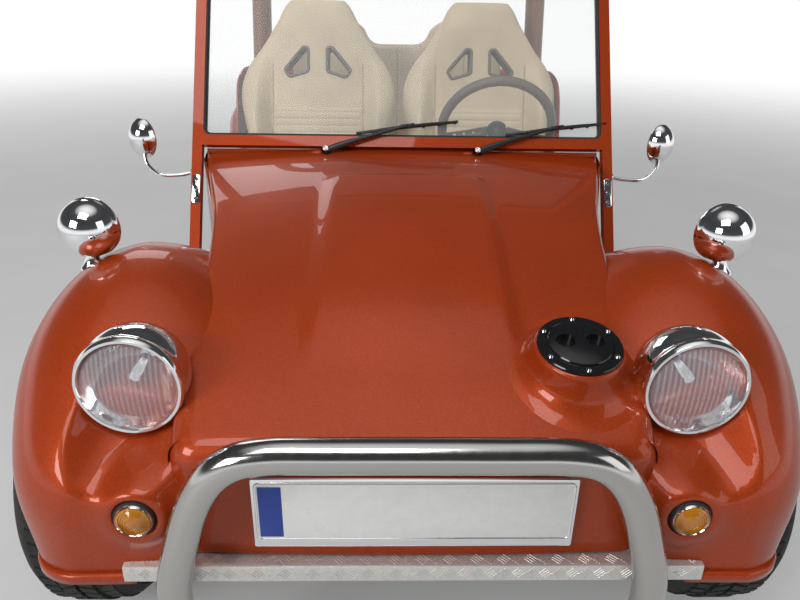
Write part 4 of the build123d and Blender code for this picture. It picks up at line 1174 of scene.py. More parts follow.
def build_blade(pivot):
    """Blade carrier with its claws and clip, and the rubber lip under it."""
    low, high = Vector((pivot + 0.085, 0.011)), Vector((pivot + 0.378, 0.049))

    def on_blade(t, out):
        spot = low.lerp(high, t)
        return spot.x, spot.y, out

    parts = []
    for start, end, foot_out, top_out, thick in ((0.14, 0.86, 0.0125, 0.0235, 0.0022),
                                                 (0.03, 0.34, 0.0085, 0.0155, 0.0018),
                                                 (0.66, 0.97, 0.0085, 0.0155, 0.0018)):
        arch = []
        for k in range(13):
            out = foot_out + (top_out - foot_out) * sin(pi * k / 12) ** 0.6
            arch.append(on_blade(start + (end - start) * k / 12, out))
        parts.append(flat_bar("carrier", arch, [0.0042] * 13, thick, MATS["black"]))
    for t in (0.03, 0.185, 0.34, 0.66, 0.815, 0.97):
        claw = block("claw", (-0.004, -0.0048, -0.0035), (0.004, 0.0048, 0.0035), 0.001)
        claw.data.transform(screen_matrix(*on_blade(t, 0.0075)))
        parts.append(paint_with(claw, MATS["black"]))
    clip = block("clip", (-0.020, -0.0062, -0.004), (0.020, 0.0062, 0.0055), 0.0015)
    clip.data.transform(screen_matrix(*on_blade(0.5, 0.0225)) @ Matrix.Rotation(radians(8), 4, "Z"))
    parts.append(paint_with(clip, MATS["black"]))
    section = ((-0.0038, 0.0045), (0.0038, 0.0045), (0.0032, 0.0), (0.0009, -0.0042), (-0.0009, -0.0042),
               (-0.0032, 0.0))
    lip = []
    for k in range(25):
        x, up, out = on_blade(k / 24, 0.0085)
        lip.append([on_screen(x, up + across, out + lift) for across, lift in section])
    parts.append(paint_with(grid_piece("blade_lip", lip, wrap_v=True, cap=True), MATS["rubber"]))
    return parts


def build_pod(foot):
    """Painted swelling of the scuttle at the spindle's foot."""
    pod = []
    for k in range(15):
        t = k / 16
        wide = max(0.001, 0.0185 * sin(pi * min(1.0, t * 1.28 + 0.02)) ** 0.5 if t < 0.78 else 0.0)
        spot = foot + Vector((-0.052 + 0.072 * t, 0.006, -0.004))
        pod.append([spot + SCREEN_UP * wide * cos(a) * 0.8 + SCREEN_OUT * wide * 0.62 * sin(a)
                    for a in round_angles(20)])
    return paint_with(grid_piece("pivot_pod", pod, wrap_v=True, cap=True), MATS["paint"])


class BUGGY_OT_screen(bpy.types.Operator):
    """Glass, rubber seal, post brackets and wipers."""

    bl_idname = "buggy.screen"
    bl_label = "Windscreen and wipers"

    def execute(self, context):
        paint_with(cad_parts["windscreen_glass"], MATS["glass"])
        corners = rounded_loop([(-0.571, 0.004), (0.571, 0.004), (0.571, 0.446), (-0.571, 0.446)], 0.020, 8)
        seals = [loop_tube("seal", [on_screen(x, up, out) for x, up in corners], 0.0055, 10)
                 for out in (-0.006, 0.006)]
        place(paint_with(join("screen_seal", seals), MATS["rubber"]), "chassis", "black_plastic")
        brackets = []
        for side in (-1, 1):
            mount = screen_matrix(side * 0.588, -0.156, 0.0132)
            brackets.append(plate("bracket", rounded_outline(0.022, 0.082, 0.008), mount, 0.003, 0.0008))
            for up in (-0.184, -0.156, -0.128):
                spot = on_screen(side * 0.588, up, 0.0162)
                brackets.append(bolt_head("bracket_bolt", 0.0042, 0.005, spot, SCREEN_OUT))
        place(paint_with(join("post_brackets", brackets), MATS["chrome"]), "chassis", "chrome_trim")
        wipers = build_wiper(-0.221) + build_wiper(0.210)
        place(join("wiper_pair", wipers), "chassis", "black_plastic", "wipers")
        return {"FINISHED"}


def fender_mirror(side):
    """Round mirror in a plated bowl, on a flared foot on the fender."""
    centre = Vector((side * 0.659, -1.190, 0.840))
    axis = Matrix.Rotation(radians(side * 10), 3, "Z") @ Vector((0, 1, 0))
    bowl = [(r, -h) for r, h in dome_profile(0.062, 0.0605, 20)]
    bowl += [(0.062, 0.003), (0.0625, 0.008), (0.062, 0.0125), (0.0595, 0.014), (0.057, 0.0125),
             (0.0565, 0.009)]
    glass = [(0, 0.0105), (0.040, 0.0102), (0.0567, 0.0095)]
    foot = Vector((side * 0.6645, -1.190, 0.752))
    stalk = [(0.027, -0.006), (0.0265, 0.002), (0.024, 0.006), (0.019, 0.012), (0.015, 0.022),
             (0.0125, 0.034), (0.012, 0.044)]
    return [paint_with(lathe("bowl", bowl, centre, axis, 80), MATS["chrome"]),
            paint_with(lathe("glass", glass, centre, axis, 64), MATS["mirror"]),
            paint_with(lathe("stalk", stalk, foot, (0, 0, 1), 40), MATS["chrome"])]


def post_mirror(side):
    """Oval mirror on a bent arm from the windscreen post."""
    bowl = [(r, -h) for r, h in dome_profile(0.034, 0.049, 16)]
    bowl += [(0.050, 0.002), (0.0502, 0.006), (0.049, 0.0080), (0.0465, 0.0078), (0.0455, 0.0055)]
    face = [(0, 0.0060), (0.030, 0.0059), (0.0457, 0.0056)]
    turn = Matrix.Rotation(radians(side * 25), 4, "Z")
    oval = Matrix.Translation((side * 0.736, -0.590, 0.904)) @ turn @ Matrix.Diagonal((0.88, 1, 1.12, 1))
    parts = []
    for profile, finish, steps in ((bowl, "chrome", 64), (face, "mirror", 48)):
        piece = lathe("head", profile, (0, 0, 0), (0, 1, 0), steps)
        piece.data.transform(oval)
        tidy_normals(piece, 1e-7)
        parts.append(paint_with(piece, MATS[finish]))
    arm = along([(side * x, y, z) for x, y, z in (
        (0.600, -0.600, 0.812), (0.640, -0.612, 0.806), (0.690, -0.622, 0.810), (0.722, -0.618, 0.838),
        (0.731, -0.604, 0.872))], 8)
    parts.append(paint_with(tube("arm", arm, 0.0055, 14), MATS["chrome"]))
    for point, radius in ((arm[0], 0.0115), (arm[-1], 0.0105)):
        ball = [(radius * sin(pi * k / 10), -radius * cos(pi * k / 10)) for k in range(11)]
        parts.append(paint_with(lathe("ball", ball, point, (1, 0, 0), 20), MATS["chrome"]))
    return parts


class BUGGY_OT_mirrors(bpy.types.Operator):
    """Plated bowls on the fenders and on the screen posts."""

    bl_idname = "buggy.mirrors"
    bl_label = "Mirrors"

    def execute(self, context):
        parts = []
        for side in (-1, 1):
            parts += fender_mirror(side) + post_mirror(side)
        place(join("mirror_set", parts), "chassis", "chrome_trim", "mirrors")
        return {"FINISHED"}


class BUGGY_OT_filler(bpy.types.Operator):
    """Black flange with six bolts and a domed cap with two finger holes."""

    bl_idname = "buggy.filler"
    bl_label = "Fuel filler"

    def execute(self, context):
        flange = [(0.0, 0.0), (0.0745, 0.0), (0.0750, 0.0015), (0.0750, 0.0052), (0.0735, 0.0068),
                  (0.0600, 0.0070), (0.0590, 0.0062), (0.0575, 0.0064), (0.0570, 0.0090), (0.0555, 0.0108),
                  (0.045, 0.0135), (0.030, 0.0152), (0.0, 0.0160)]
        cap = lathe("cap", flange, FILLER_TOP, FILLER_AXIS, 96, 30)
        hole = [(0.0, 0.0035), (0.0165, 0.0035), (0.0165, 0.030), (0.0, 0.030)]
        for x in (-0.026, 0.026):
            cut_away(cap, lathe("hole", hole, FILLER_TOP + Vector((x, 0, 0)), FILLER_AXIS, 40))
        sharp_by_angle(cap, 25)
        turn = frame_of(FILLER_AXIS)
        heads = []
        for k in range(6):
            a = radians(30 + 60 * k)
            spot = FILLER_TOP + turn @ Vector((0.0665 * cos(a), 0.0665 * sin(a), 0.0068))
            heads.append(bolt_head("flange_bolt", 0.0036, 0.0034, spot, FILLER_AXIS))
        bolts = paint_with(join("flange_bolts", heads), MATS["chrome"])
        filler = join("filler_assembly", [paint_with(cap, MATS["gloss"]), bolts])
        place(filler, "chassis", "black_plastic", "filler_cap")
        return {"FINISHED"}


# Seats: rows up the back
# columns: height along the back, half width
SEAT_ROWS = (
    (0.000, 0.238), (0.200, 0.250), (0.330, 0.268), (0.420, 0.288), (0.500, 0.299), (0.560, 0.293),
    (0.625, 0.265), (0.690, 0.216), (0.740, 0.184), (0.790, 0.153), (0.838, 0.128), (0.868, 0.106),
)
SEAT_X, SEAT_Y, SEAT_Z = 0.315, 0.070, 0.430
HARNESS = ((0.036, 0.688), (0.036, 0.600), (0.110, 0.578), (0.128, 0.606), (0.056, 0.690))
BACK_RAKE = radians(16)
BACK_MIDDLE, BACK_TOP, BACK_ROUND = -0.028, 0.838, 0.030
SEAT_UP = Vector((0, sin(BACK_RAKE), cos(BACK_RAKE)))
SEAT_OUT = Vector((0, -cos(BACK_RAKE), sin(BACK_RAKE)))
SEAM_X = 0.174
PLEAT_PITCH, PLEAT_DEPTH = 0.026, 0.0036
seat_half = through(SEAT_ROWS, 1)


def seat_front(x, up):
    """How far the back's padding stands forward of its plane."""
    ax = abs(x)
    half = float(seat_half(up))
    bolster = 0.072 * (1 - float(step(up, 0.36, 0.66))) * float(step(up, -0.02, 0.10)) + 0.016
    bolster *= 1 - float(step(up, 0.60, 0.76))
    rise = float(step(ax, SEAM_X - 0.004, 0.240))
    head = 0.014 * float(step(up, 0.66, 0.80)) * (1 - (ax / half) ** 2)
    panel = SEAM_X - 0.030 * (1 - float(step(up, 0.22, 0.44)))
    pleat = 0.0
    if ax < panel and up < 0.455:
        phase = (up - 0.005) / PLEAT_PITCH
        near = 1 - min(1.0, abs(phase - round(phase)) / 0.20)
        pleat = -PLEAT_DEPTH * near * (1 - float(step(ax, panel - 0.012, panel)))
    roll = 0.006 * float(step(up, 0.470, 0.440)) if ax < panel else 0.0
    seam = -0.006 * max(0.0, 1 - abs(ax - SEAM_X) / 0.007) * (1 - float(step(up, 0.60, 0.66)))
    wedge = float(step(ax, panel - 0.002, panel + 0.006)) * (1 - float(step(ax, SEAM_X - 0.004, SEAM_X)))
    return bolster * rise + head + pleat + roll + seam - 0.014 * wedge * (1 - float(step(up, 0.36, 0.44)))


def on_back(side, x, up, out=0.0):
    """A point of a seat's back: across, up along it and forward of it."""
    return Vector((side * SEAT_X + x, SEAT_Y, SEAT_Z)) + SEAT_UP * up + SEAT_OUT * out


def back_section(side, up):
    """One section of the seat's back: across its front, then back across its rear."""
    half = float(seat_half(up))
    from_end = max(up - BACK_TOP, BACK_ROUND - up, 0.0) / BACK_ROUND
    close = sqrt(max(0.0, 1 - from_end**2))
    rear = -0.085 + 0.025 * float(step(up, 0.45, 0.8))

    def point(u, power, face):
        x = half * sin(u * pi / 2) * (0.9 + 0.1 * close)
        edge = (1 - min(1.0, abs(x) / half) ** power) ** 0.5
        stand = seat_front(x, up) if face == "front" else rear
        return on_back(side, x, up, BACK_MIDDLE + (stand - BACK_MIDDLE) * edge * close)

    front = [point(u, 7, "front") for u in np.linspace(-1, 1, 72)]
    return front + [point(1 - 2 * k / 35, 5, "rear") for k in range(1, 35)]


def slot_trims(side, outline):
    """Plastic rims on both faces of a harness slot, and the liner through it."""
    front = [on_back(side, x, up, seat_front(x, up) + 0.001) for x, up in outline]
    rear = [on_back(side, x, up, -0.078 + 0.018 * float(step(up, 0.45, 0.8))) for x, up in outline]
    liner = [[on_back(side, x, up, out) for x, up in outline] for out in (-0.080, 0.002)]
    rims = [loop_tube("rim", ring, 0.0058, 10) for ring in (front, rear)]
    return [*rims, grid_piece("liner", liner, wrap_v=True)]


def build_seat_back(side):
    """Padded back with its two harness slots, and the slots' trims."""
    runs = (np.linspace(0, 0.10, 10), np.linspace(0.10, 0.50, 121), np.linspace(0.50, BACK_TOP, 46))
    crown = [BACK_TOP + BACK_ROUND * sin(pi / 2 * k / 8) for k in range(1, 9)]
    ups = [*np.unique(np.concatenate(runs)), *crown]
    shell = grid_piece("seat_back", [back_section(side, up) for up in ups], wrap_v=True, cap=True)
    facing = Matrix((Vector((1, 0, 0)), SEAT_UP, SEAT_OUT)).transposed().to_4x4()
    behind = Matrix.Translation(on_back(side, 0, 0, -0.15)) @ facing
    trims = []
    for hand in (-1, 1):
        outline = rounded_loop([(hand * x, up) for x, up in HARNESS], 0.012, 6)
        cut_away(shell, plate("slot", outline, behind, 0.30, 0))
        trims += slot_trims(side, outline)
    sharp_by_angle(shell, 60)
    return shell, paint_with(join("trims", trims), MATS["trim"])


def build_seat_pad(side):
    """Lower cushion, slightly small so that the padding swells into its place."""
    foot, middle = 0.398, 0.420
    rows = []
    for t in np.linspace(0, 1, 30):
        y = -0.333 + 0.440 * t
        round_front = sqrt(max(0.0, 1 - max(0.0, (0.10 - t) / 0.10) ** 2))
        sag = 0.020 * sin(pi * min(1.0, t * 1.1))
        row = []
        for u in np.linspace(-1, 1, 40):
            x = 0.236 * sin(u * pi / 2)
            bolster = 0.036 * float(step(abs(x), 0.150, 0.200))
            top = 0.505 - sag + 0.018 * (1 - t) + bolster
            edge = (1 - min(1.0, abs(x) / 0.2365) ** 8) ** 0.5
            row.append((side * SEAT_X + x, y, middle + (top - middle) * edge * (0.35 + 0.65 * round_front)))
        row += [(side * SEAT_X + 0.232 * sin((1 - 2 * j / 20) * pi / 2), y, foot) for j in range(1, 20)]
        rows.append(row)
    return grid_piece("seat_pad", rows, wrap_v=True, cap=True)


def seat_seams(side, back, pad):
    """Piping beside the bolsters and the sewn channels of the cushion, in darker leather that is painted
    shade along the seams.
    """
    seams = []
    for hand in (-1, 1):
        line = [on_back(side, hand * SEAM_X, up) for up in np.linspace(0.06, 0.63, 70)]
        seams.append(seam_on("back_seam", back, line, -SEAT_OUT, 0.0024, MATS["seam"]))
        line = [(side * SEAT_X + hand * 0.160, y, 0.6) for y in np.linspace(-0.31, 0.06, 50)]
        seams.append(seam_on("pad_seam", pad, line, (0, 0, -1), 0.0024, MATS["seam"]))
    for y in (-0.23, -0.17, -0.11, -0.05, 0.01):
        line = [(side * SEAT_X + x, y, 0.6) for x in np.linspace(-0.156, 0.156, 40)]
        seams.append(seam_on("channel", pad, line, (0, 0, -1), 0.0014, MATS["seam"]))
    return seams


def build_seat(side, word, pressure):
    """Bucket seat: back, cushion, seams, slot trims and its metal base on two runners."""
    back, trims = build_seat_back(side)
    paint_with(back, MATS["leather"])
    pad = paint_with(puff(build_seat_pad(side), 0.0065, pressure, 0.010), MATS["leather"])
    middle = side * SEAT_X
    runners = [block("runner", (middle + x - 0.02, -0.30, 0.209), (middle + x + 0.02, 0.08, 0.400), 0.003)
               for x in (-0.14, 0.14)]
    base = block("seat_base", (middle - 0.205, -0.315, 0.372), (middle + 0.205, 0.090, 0.402), 0.012, 3)
    metal = paint_with(join("metal", [*runners, base]), MATS["black"])
    return join(f"bucket_seat_{word}", [back, pad, trims, metal, *seat_seams(side, back, pad)])


def build_bench(pressure):
    """Rear bench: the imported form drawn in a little, swelled and sewn."""
    bench = new_object("bench_cushions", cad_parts["rear_bench"].data.copy())
    centre = Vector((0, 0.5, 0.7))
    smaller = Matrix.Diagonal((0.985, 0.975, 0.985, 1))
    bench.data.transform(Matrix.Translation(centre) @ smaller @ Matrix.Translation(-centre))
    paint_with(puff(bench, 0.010, pressure, 0.010), MATS["leather"])
    seams = []
    # seams in the darker leather: painted shade along the sewn lines
    for x in (-0.30, -0.15, 0.0, 0.15, 0.30):
        up_back = [(x, 0.5, z) for z in np.linspace(0.64, 1.06, 60)]
        seams.append(seam_on("bench_seam", bench, up_back, (0, 1, 0), 0.0022, MATS["seam"]))
        over_pad = [(x, y, 0.7) for y in np.linspace(0.33, 0.59, 40)]
        seams.append(seam_on("bench_seam", bench, over_pad, (0, 0, -1), 0.0022, MATS["seam"]))
    return join("bench_padding", [bench, *seams])


class BUGGY_OT_seats(bpy.types.Operator):
    """Bucket seats and rear bench in cream leather."""

    bl_idname = "buggy.seats"
    bl_label = "Seats"

    def execute(self, context):
        pressure = context.scene.buggy.pad_pressure
        left, right = build_seat(1, "left", pressure), build_seat(-1, "right", pressure)
        bench = build_bench(pressure)
        for piece, node in ((left, "seat_left"), (right, "seat_right"), (bench, "rear_bench")):
            place(piece, "chassis", "cream_leather", node)
        return {"FINISHED"}


HUB = Vector((0.305, -0.320, 0.893))
COLUMN_FOOT = Vector((0.265, -1.290, 0.432))
COLUMN = (HUB - COLUMN_FOOT).normalized()
GRIP_REACH, GRIP_THICK = 0.175, 0.0152


def build_grip(base):
    """Moulded rim of the steering wheel, with finger ridges on its inner side."""
    rings = []
    for a in round_angles(180):
        ridge = 0.0006 * cos(a * 36)
        ring = []
        for b in round_angles(20):
            thick = GRIP_THICK + ridge * (0.5 - 0.5 * cos(b)) * 0.8
            reach = GRIP_REACH + thick * cos(b)
            ring.append(base @ Vector((reach * cos(a), reach * sin(a), thick * sin(b))))
        rings.append(ring)
    return paint_with(grid_piece("grip", rings, wrap_u=True, wrap_v=True), MATS["trim"])


def build_spoke(base, angle):
    """Flat tapered spoke with three holes."""
    spin = base @ Matrix.Rotation(radians(angle), 4, "Z")
    edge = [(0.010, -0.164), (0.0125, -0.10), (0.018, -0.03)]
    outline = edge + [(-x, y) for x, y in reversed(edge)]
    spoke = plate("spoke", outline, spin @ Matrix.Translation((0, 0, -0.005)), 0.005, 0.0012)
    for at in (-0.135, -0.105, -0.075):
        bore = [(0, 0), (0.0052, 0), (0.0052, 0.04), (0, 0.04)]
        cut_away(spoke, lathe("bore", bore, spin @ Vector((0, at, -0.02)), COLUMN, 20))
    return paint_with(spoke, MATS["trim"])


def build_steering_wheel():
    """Rim, spokes, bolted hub and stem, square to the column."""
    right = (Vector((1, 0, 0)) - COLUMN * COLUMN.x).normalized()
    base = Matrix.Translation(HUB) @ Matrix((right, COLUMN.cross(right), COLUMN)).transposed().to_4x4()
    parts = [build_grip(base), *(build_spoke(base, angle) for angle in (180, 100, 260))]
    hub = [(0.0, -0.012), (0.030, -0.012), (0.032, -0.006), (0.032, 0.001), (0.0300, 0.0018), (0.027, 0.0015),
           (0.0265, 0.0018), (0.020, 0.0019), (0.0, 0.002)]
    parts.append(paint_with(lathe("hub", hub, HUB, COLUMN, 56), MATS["black"]))
    for k in range(6):
        spot = base @ Vector((0.0288 * cos(pi / 3 * k), 0.0288 * sin(pi / 3 * k), 0.0))
        parts.append(paint_with(bolt_head("hub_bolt", 0.0017, 0.0019, spot, COLUMN), MATS["chrome"]))
    stem = [(0.0108, -0.148), (0.0108, -0.030), (0.016, -0.022), (0.020, -0.010)]
    parts.append(paint_with(lathe("stem", stem, HUB, COLUMN, 32), MATS["black"]))
    return join("wheel_and_grip", parts)


DASH_LEAN = radians(8.7)
DASH_OUT = Vector((0, cos(DASH_LEAN), -sin(DASH_LEAN)))
GAUGE_Y, GAUGE_Z = -0.4400, 0.765
GAUGES = ((0.400, 0.044), (0.170, 0.026), (0.105, 0.026), (-0.03, 0.026), (0.04, 0.026))
KNOBS = (-0.20, -0.15, 0.51)


def build_gauge(x, radius):
    """Blank dial in a plated bezel, with ticks and a needle."""
    spot = Vector((x, GAUGE_Y, GAUGE_Z))
    turn = frame_of(DASH_OUT)
    bezel = [(radius, -0.002), (radius, 0.004), (radius * 0.93, 0.006), (radius * 0.87, 0.004),
             (radius * 0.87, 0.002)]
    dial = [(0, 0.0015), (radius * 0.88, 0.0015)]
    tick = block("tick", (0.0, -0.0006, radius * 0.70), (0.0006, 0.0006, radius * 0.82), 0)
    ticks = repeat(tick, "around", 21, (radians(13.5), 0, 0), MATS["plate"])
    facing = Matrix((DASH_OUT, turn.col[0], turn.col[1])).transposed().to_4x4()
    lift = Matrix.Translation(spot + DASH_OUT * 0.0016)
    ticks.data.transform(lift @ facing @ Matrix.Rotation(radians(-135), 4, "X"))
    start = spot + DASH_OUT * 0.0026
    tip = start + turn @ Vector((-radius * 0.5, -radius * 0.45, 0))
    needle = tube("needle", [start, tip], [0.0014, 0.0005], 6)
    return [paint_with(lathe("bezel", bezel, spot, DASH_OUT, 48), MATS["chrome"]),
            paint_with(lathe("dial", dial, spot, DASH_OUT, 48), MATS["black"]),
            ticks, paint_with(needle, MATS["amber"])]


class BUGGY_OT_steering(bpy.types.Operator):
    """Three-spoke wheel with a moulded grip, and the gauges."""

    bl_idname = "buggy.steering"
    bl_label = "Steering wheel and dash"

    def execute(self, context):
        place(build_steering_wheel(), "steering_wheel", "rim_plastic", "steering_wheel")
        gauges = []
        for x, radius in GAUGES:
            gauges += build_gauge(x, radius)
        knob = [(0.007, 0), (0.007, 0.006), (0.012, 0.010), (0.012, 0.017), (0.009, 0.020), (0, 0.020)]
        for x in KNOBS:
            turned = lathe("knob", knob, Vector((x, GAUGE_Y - 0.0012, GAUGE_Z - 0.005)), DASH_OUT, 28)
            gauges.append(paint_with(turned, MATS["black"]))
        place(join("dash_gauges", gauges), "chassis", "black_plastic")
        return {"FINISHED"}


# Wheels
# columns: end, axle, tyre radius, tyre width, track centre
WHEELS = (("front", FRONT_AXLE, 0.317, 0.1945, 0.658), ("rear", REAR_AXLE, 0.335, 0.2495, 0.690))
TYRE_BEAD = 0.190
TREAD_EDGE, TREAD_FILL = 0.026, 0.72


def tyre_section(radius, half):
    """Half of a tyre's section, from bead to the middle of the tread, as (radius, place across) pairs."""
    bead = TYRE_BEAD
    return [
        (bead - 0.003, half - 0.018), (bead + 0.010, half - 0.013), (bead + 0.020, half - 0.010),
        (bead + 0.034, half - 0.0075), (bead + 0.050, half - 0.003), (bead + 0.062, half - 0.0005),
        (bead + 0.0635, half + 0.0003), (bead + 0.068, half + 0.0003), (bead + 0.0695, half - 0.0006),
        (radius - 0.045, half - 0.001), (radius - 0.033, half - 0.005), (radius - 0.031, half - 0.0045),
        (radius - 0.024, half - 0.010), (radius - 0.015, half - 0.020), (radius - 0.010, half - 0.034),
        (radius - 0.0085, half - 0.05), (radius - 0.0078, 0.0),
    ]


def tread_block(x, half_width, half_length, foot, top, lean):
    """One block of the tread, narrower at its top and askew across the tyre."""
    verts = []
    for level, grow in ((foot, 1.0), (top, 0.93)):
        for sx, sy in ((-1, -1), (1, -1), (1, 1), (-1, 1)):
            verts.append((x + sx * half_width * grow, sy * half_length * grow + lean * sx * 0.5, level))
    faces = [(4, 5, 6, 7), (0, 1, 5, 4), (1, 2, 6, 5), (2, 3, 7, 6), (3, 0, 4, 7)]
    return link_mesh("block", verts, faces, False)


def build_tyre(name, radius, width, centre, blocks_round):
    """Tyre carcass with ribbed shoulders, and a band of tread blocks."""
    section = tyre_section(radius, width / 2)
    section += [(r, -x) for r, x in reversed(section[:-1])]
    carcass = lathe("carcass", section, (0, 0, 0), (1, 0, 0), 120, 50)
    bands = 5 if width > 0.22 else 4
    pitch = (width - 2 * TREAD_EDGE) / bands
    row = []
    for k in range(bands):
        x = -width / 2 + TREAD_EDGE + pitch * (k + 0.5)
        top = radius - (0.0065 if k in (0, bands - 1) else 0.0012)
        lean = 0.010 if k % 2 else -0.010
        half_length = pi * radius / blocks_round * TREAD_FILL
        row.append(tread_block(x, pitch / 2 - 0.0035, half_length, radius - 0.014, top, lean))
    blocks = round_axis(join("blocks", row), blocks_round, MATS["tyre"])
    tyre = join(name, [paint_with(carcass, MATS["tyre"]), blocks])
    tyre.data.transform(Matrix.Translation(centre))
    return tyre


def build_hub_trim(name, face, side):
    """Plated hub cap with four hexagon wheel bolts, on the wheel's outer face."""
    out = Vector((side, 0, 0))
    profile = [(0.041, 0.0), (0.0415, 0.018), (0.039, 0.026), (0.030, 0.034), (0.015, 0.038), (0.0, 0.039)]
    cap = paint_with(lathe("hub_cap", profile, face + out * 0.001, out, 64), MATS["chrome"])
    bolts = round_axis(bolt_head("wheel_bolt", 0.0095, 0.012, (0, 0, 0.065), out, True), 4, MATS["chrome"])
    bolts.data.transform(Matrix.Translation(face + out * 0.0015) @ Matrix.Rotation(pi / 4, 4, "X"))
    return join(name, [cap, bolts])


class BUGGY_OT_wheels(bpy.types.Operator):
    """Tyre tread, hub caps and wheel bolts."""

    bl_idname = "buggy.wheels"
    bl_label = "Tyres and wheels"

    def execute(self, context):
        blocks_round = context.scene.buggy.tread_blocks
        for end, axle, radius, width, track in WHEELS:
            for side, word in ((1, "left"), (-1, "right")):
                corner = f"{end}_{word}"
                centre = Vector((side * track, axle.y, axle.z))
                tyre = build_tyre(f"treaded_tyre_{corner}", radius, width, centre, blocks_round)
                place(tyre, f"{corner}_wheel", "tyre_black", f"tyre_{corner}")
                paint_with(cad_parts[f"wheel_{corner}"], MATS["wheel"])
                face = centre + Vector((side * (width / 2 - 0.057), 0, 0))
                place(build_hub_trim(f"hub_trim_{corner}", face, side), f"{corner}_wheel", "chrome_trim")
        return {"FINISHED"}


BELT_Y = 1.637
CRANK_PULLEY, FAN_PULLEY = (0.325, 0.0845), (0.600, 0.0440)


def build_belt():
    """Drive belt round the crank and generator pulleys: two wraps, with straight runs between."""
    (low, low_radius), (high, high_radius) = CRANK_PULLEY, FAN_PULLEY
    drop = low_radius - high_radius
    tilt = atan2(drop, sqrt((high - low) ** 2 - drop**2))
    run = []
    wraps = ((high, high_radius, tilt, pi - 2 * tilt), (low, low_radius, pi - tilt, pi + 2 * tilt))
    for z, radius, start, sweep in wraps:
        for k in range(33):
            a = start + sweep * k / 32
            run.append(Vector((radius * cos(a), BELT_Y, z + radius * sin(a))))
    section = ((0.003, -0.005), (0.003, 0.005), (-0.004, 0.0035), (-0.004, -0.0035))
    rings = []
    for i, spot in enumerate(run):
        ahead = (run[(i + 1) % len(run)] - run[i - 1]).normalized()
        out = Vector((ahead.z, 0, -ahead.x))
        rings.append([spot + out * a + BACK * b for a, b in section])
    belt = grid_piece("belt", rings, wrap_u=True, wrap_v=True)
    sharp_by_angle(belt, 40)
    return paint_with(belt, MATS["rubber"])


def build_air_filter(side):
    """Domed lid with its wing nut over a ring of paper pleats."""
    spot = Vector((side * 0.250, 1.540, 0.588))
    lid = [(0.0600, -0.002), (0.0605, 0.002), (0.0560, 0.0085), (0.030, 0.0140), (0.0, 0.0145)]
    nut = bolt_head("wing_nut", 0.0045, 0.007, spot + UP * 0.0142, UP, True)
    fold = ((-0.0022, 0.0515), (0.0, 0.0555), (0.0022, 0.0515))
    corners = [(x, y, z) for x in (-0.019, 0.019) for y, z in fold]
    pleat = link_mesh("pleat", corners, [(0, 1, 4, 3), (1, 2, 5, 4), (0, 2, 1), (3, 4, 5)], False)
    pleats = round_axis(pleat, 72, MATS["trim"])
    pleats.data.transform(Matrix.Translation(spot - UP * 0.021) @ Matrix.Rotation(pi / 2, 4, "Y"))
    lid = paint_with(lathe("lid", lid, spot, UP, 56), MATS["chrome"])
    return [lid, paint_with(nut, MATS["steel"]), pleats]


def build_bail(side):
    """Spring wire that holds a rocker cover."""
    wire = along([(side * x, y, z) for x, y, z in (
        (0.292, 1.352, 0.372), (0.322, 1.352, 0.374), (0.3345, 1.360, 0.352), (0.3345, 1.400, 0.330),
        (0.3345, 1.472, 0.324), (0.3345, 1.544, 0.330), (0.3345, 1.584, 0.352), (0.322, 1.592, 0.374),
        (0.292, 1.592, 0.372))], 6)
    return paint_with(tube("bail", wire, 0.0024, 8), MATS["steel"])


def build_floor_mat(side):
    """Ribbed rubber mat in one footwell."""
    low, high = sorted((side * 0.100, side * 0.440))
    sheet = paint_with(block("mat", (low, -0.860, 0.2092), (high, -0.380, 0.2125), 0.001), MATS["rubber"])
    rib = block("rib", (low + 0.015, -0.850, 0.2120), (high - 0.015, -0.844, 0.2142), 0)
    return [sheet, repeat(rib, "along", 38, (0, 0.0124, 0), MATS["rubber"])]


class BUGGY_OT_tail(bpy.types.Operator):
    """Ribbed tail lamps in plated rings, drive belt and pulley, air filters, bail wires and floor mats."""

    bl_idname = "buggy.tail"
    bl_label = "Tail lamps, engine trim and mats"

    def execute(self, context):
        rings = (
            ([(0.0455, 0.0), (0.0465, 0.048), (0.0470, 0.050)], "rubber"),
            ([(0.0470, 0.048), (0.0480, 0.052), (0.0480, 0.060), (0.0465, 0.0640), (0.0440, 0.0650),
              (0.0425, 0.0620)], "chrome"),
            ([(0.0430, 0.058), (0.0425, 0.0675), (0.0375, 0.0715), (0.0370, 0.0700), (0.0300, 0.0740),
              (0.0295, 0.0725), (0.0200, 0.0752), (0.0195, 0.0737), (0.0100, 0.0758), (0.0, 0.0758)], "red"),
        )
        groove = [(0.018, 0.0), (0.018, 0.022), (0.047, 0.026), (0.047, 0.029), (0.040, 0.031),
                  (0.040, 0.039), (0.047, 0.041), (0.047, 0.044), (0.014, 0.044), (0.014, 0.050),
                  (0.0, 0.050)]
        pulley = paint_with(lathe("pulley", groove, (0, 1.602, FAN_PULLEY[0]), BACK, 56, 25), MATS["steel"])
        lamps, trim, mats = [], [build_belt(), pulley], []
        for side in (-1, 1):
            lamps += turned_stack(rings, Vector((side * 0.700, 1.480, 0.640)), BACK, 56)
            trim += [*build_air_filter(side), build_bail(side)]
            mats += build_floor_mat(side)
        place(join("tail_lamp_pair", lamps), "chassis", "red_lens", "tail_lamps")
        place(join("engine_trim", trim), "chassis", "chrome_trim")
        place(join("floor_mats", mats), "chassis", "black_plastic")
        return {"FINISHED"}


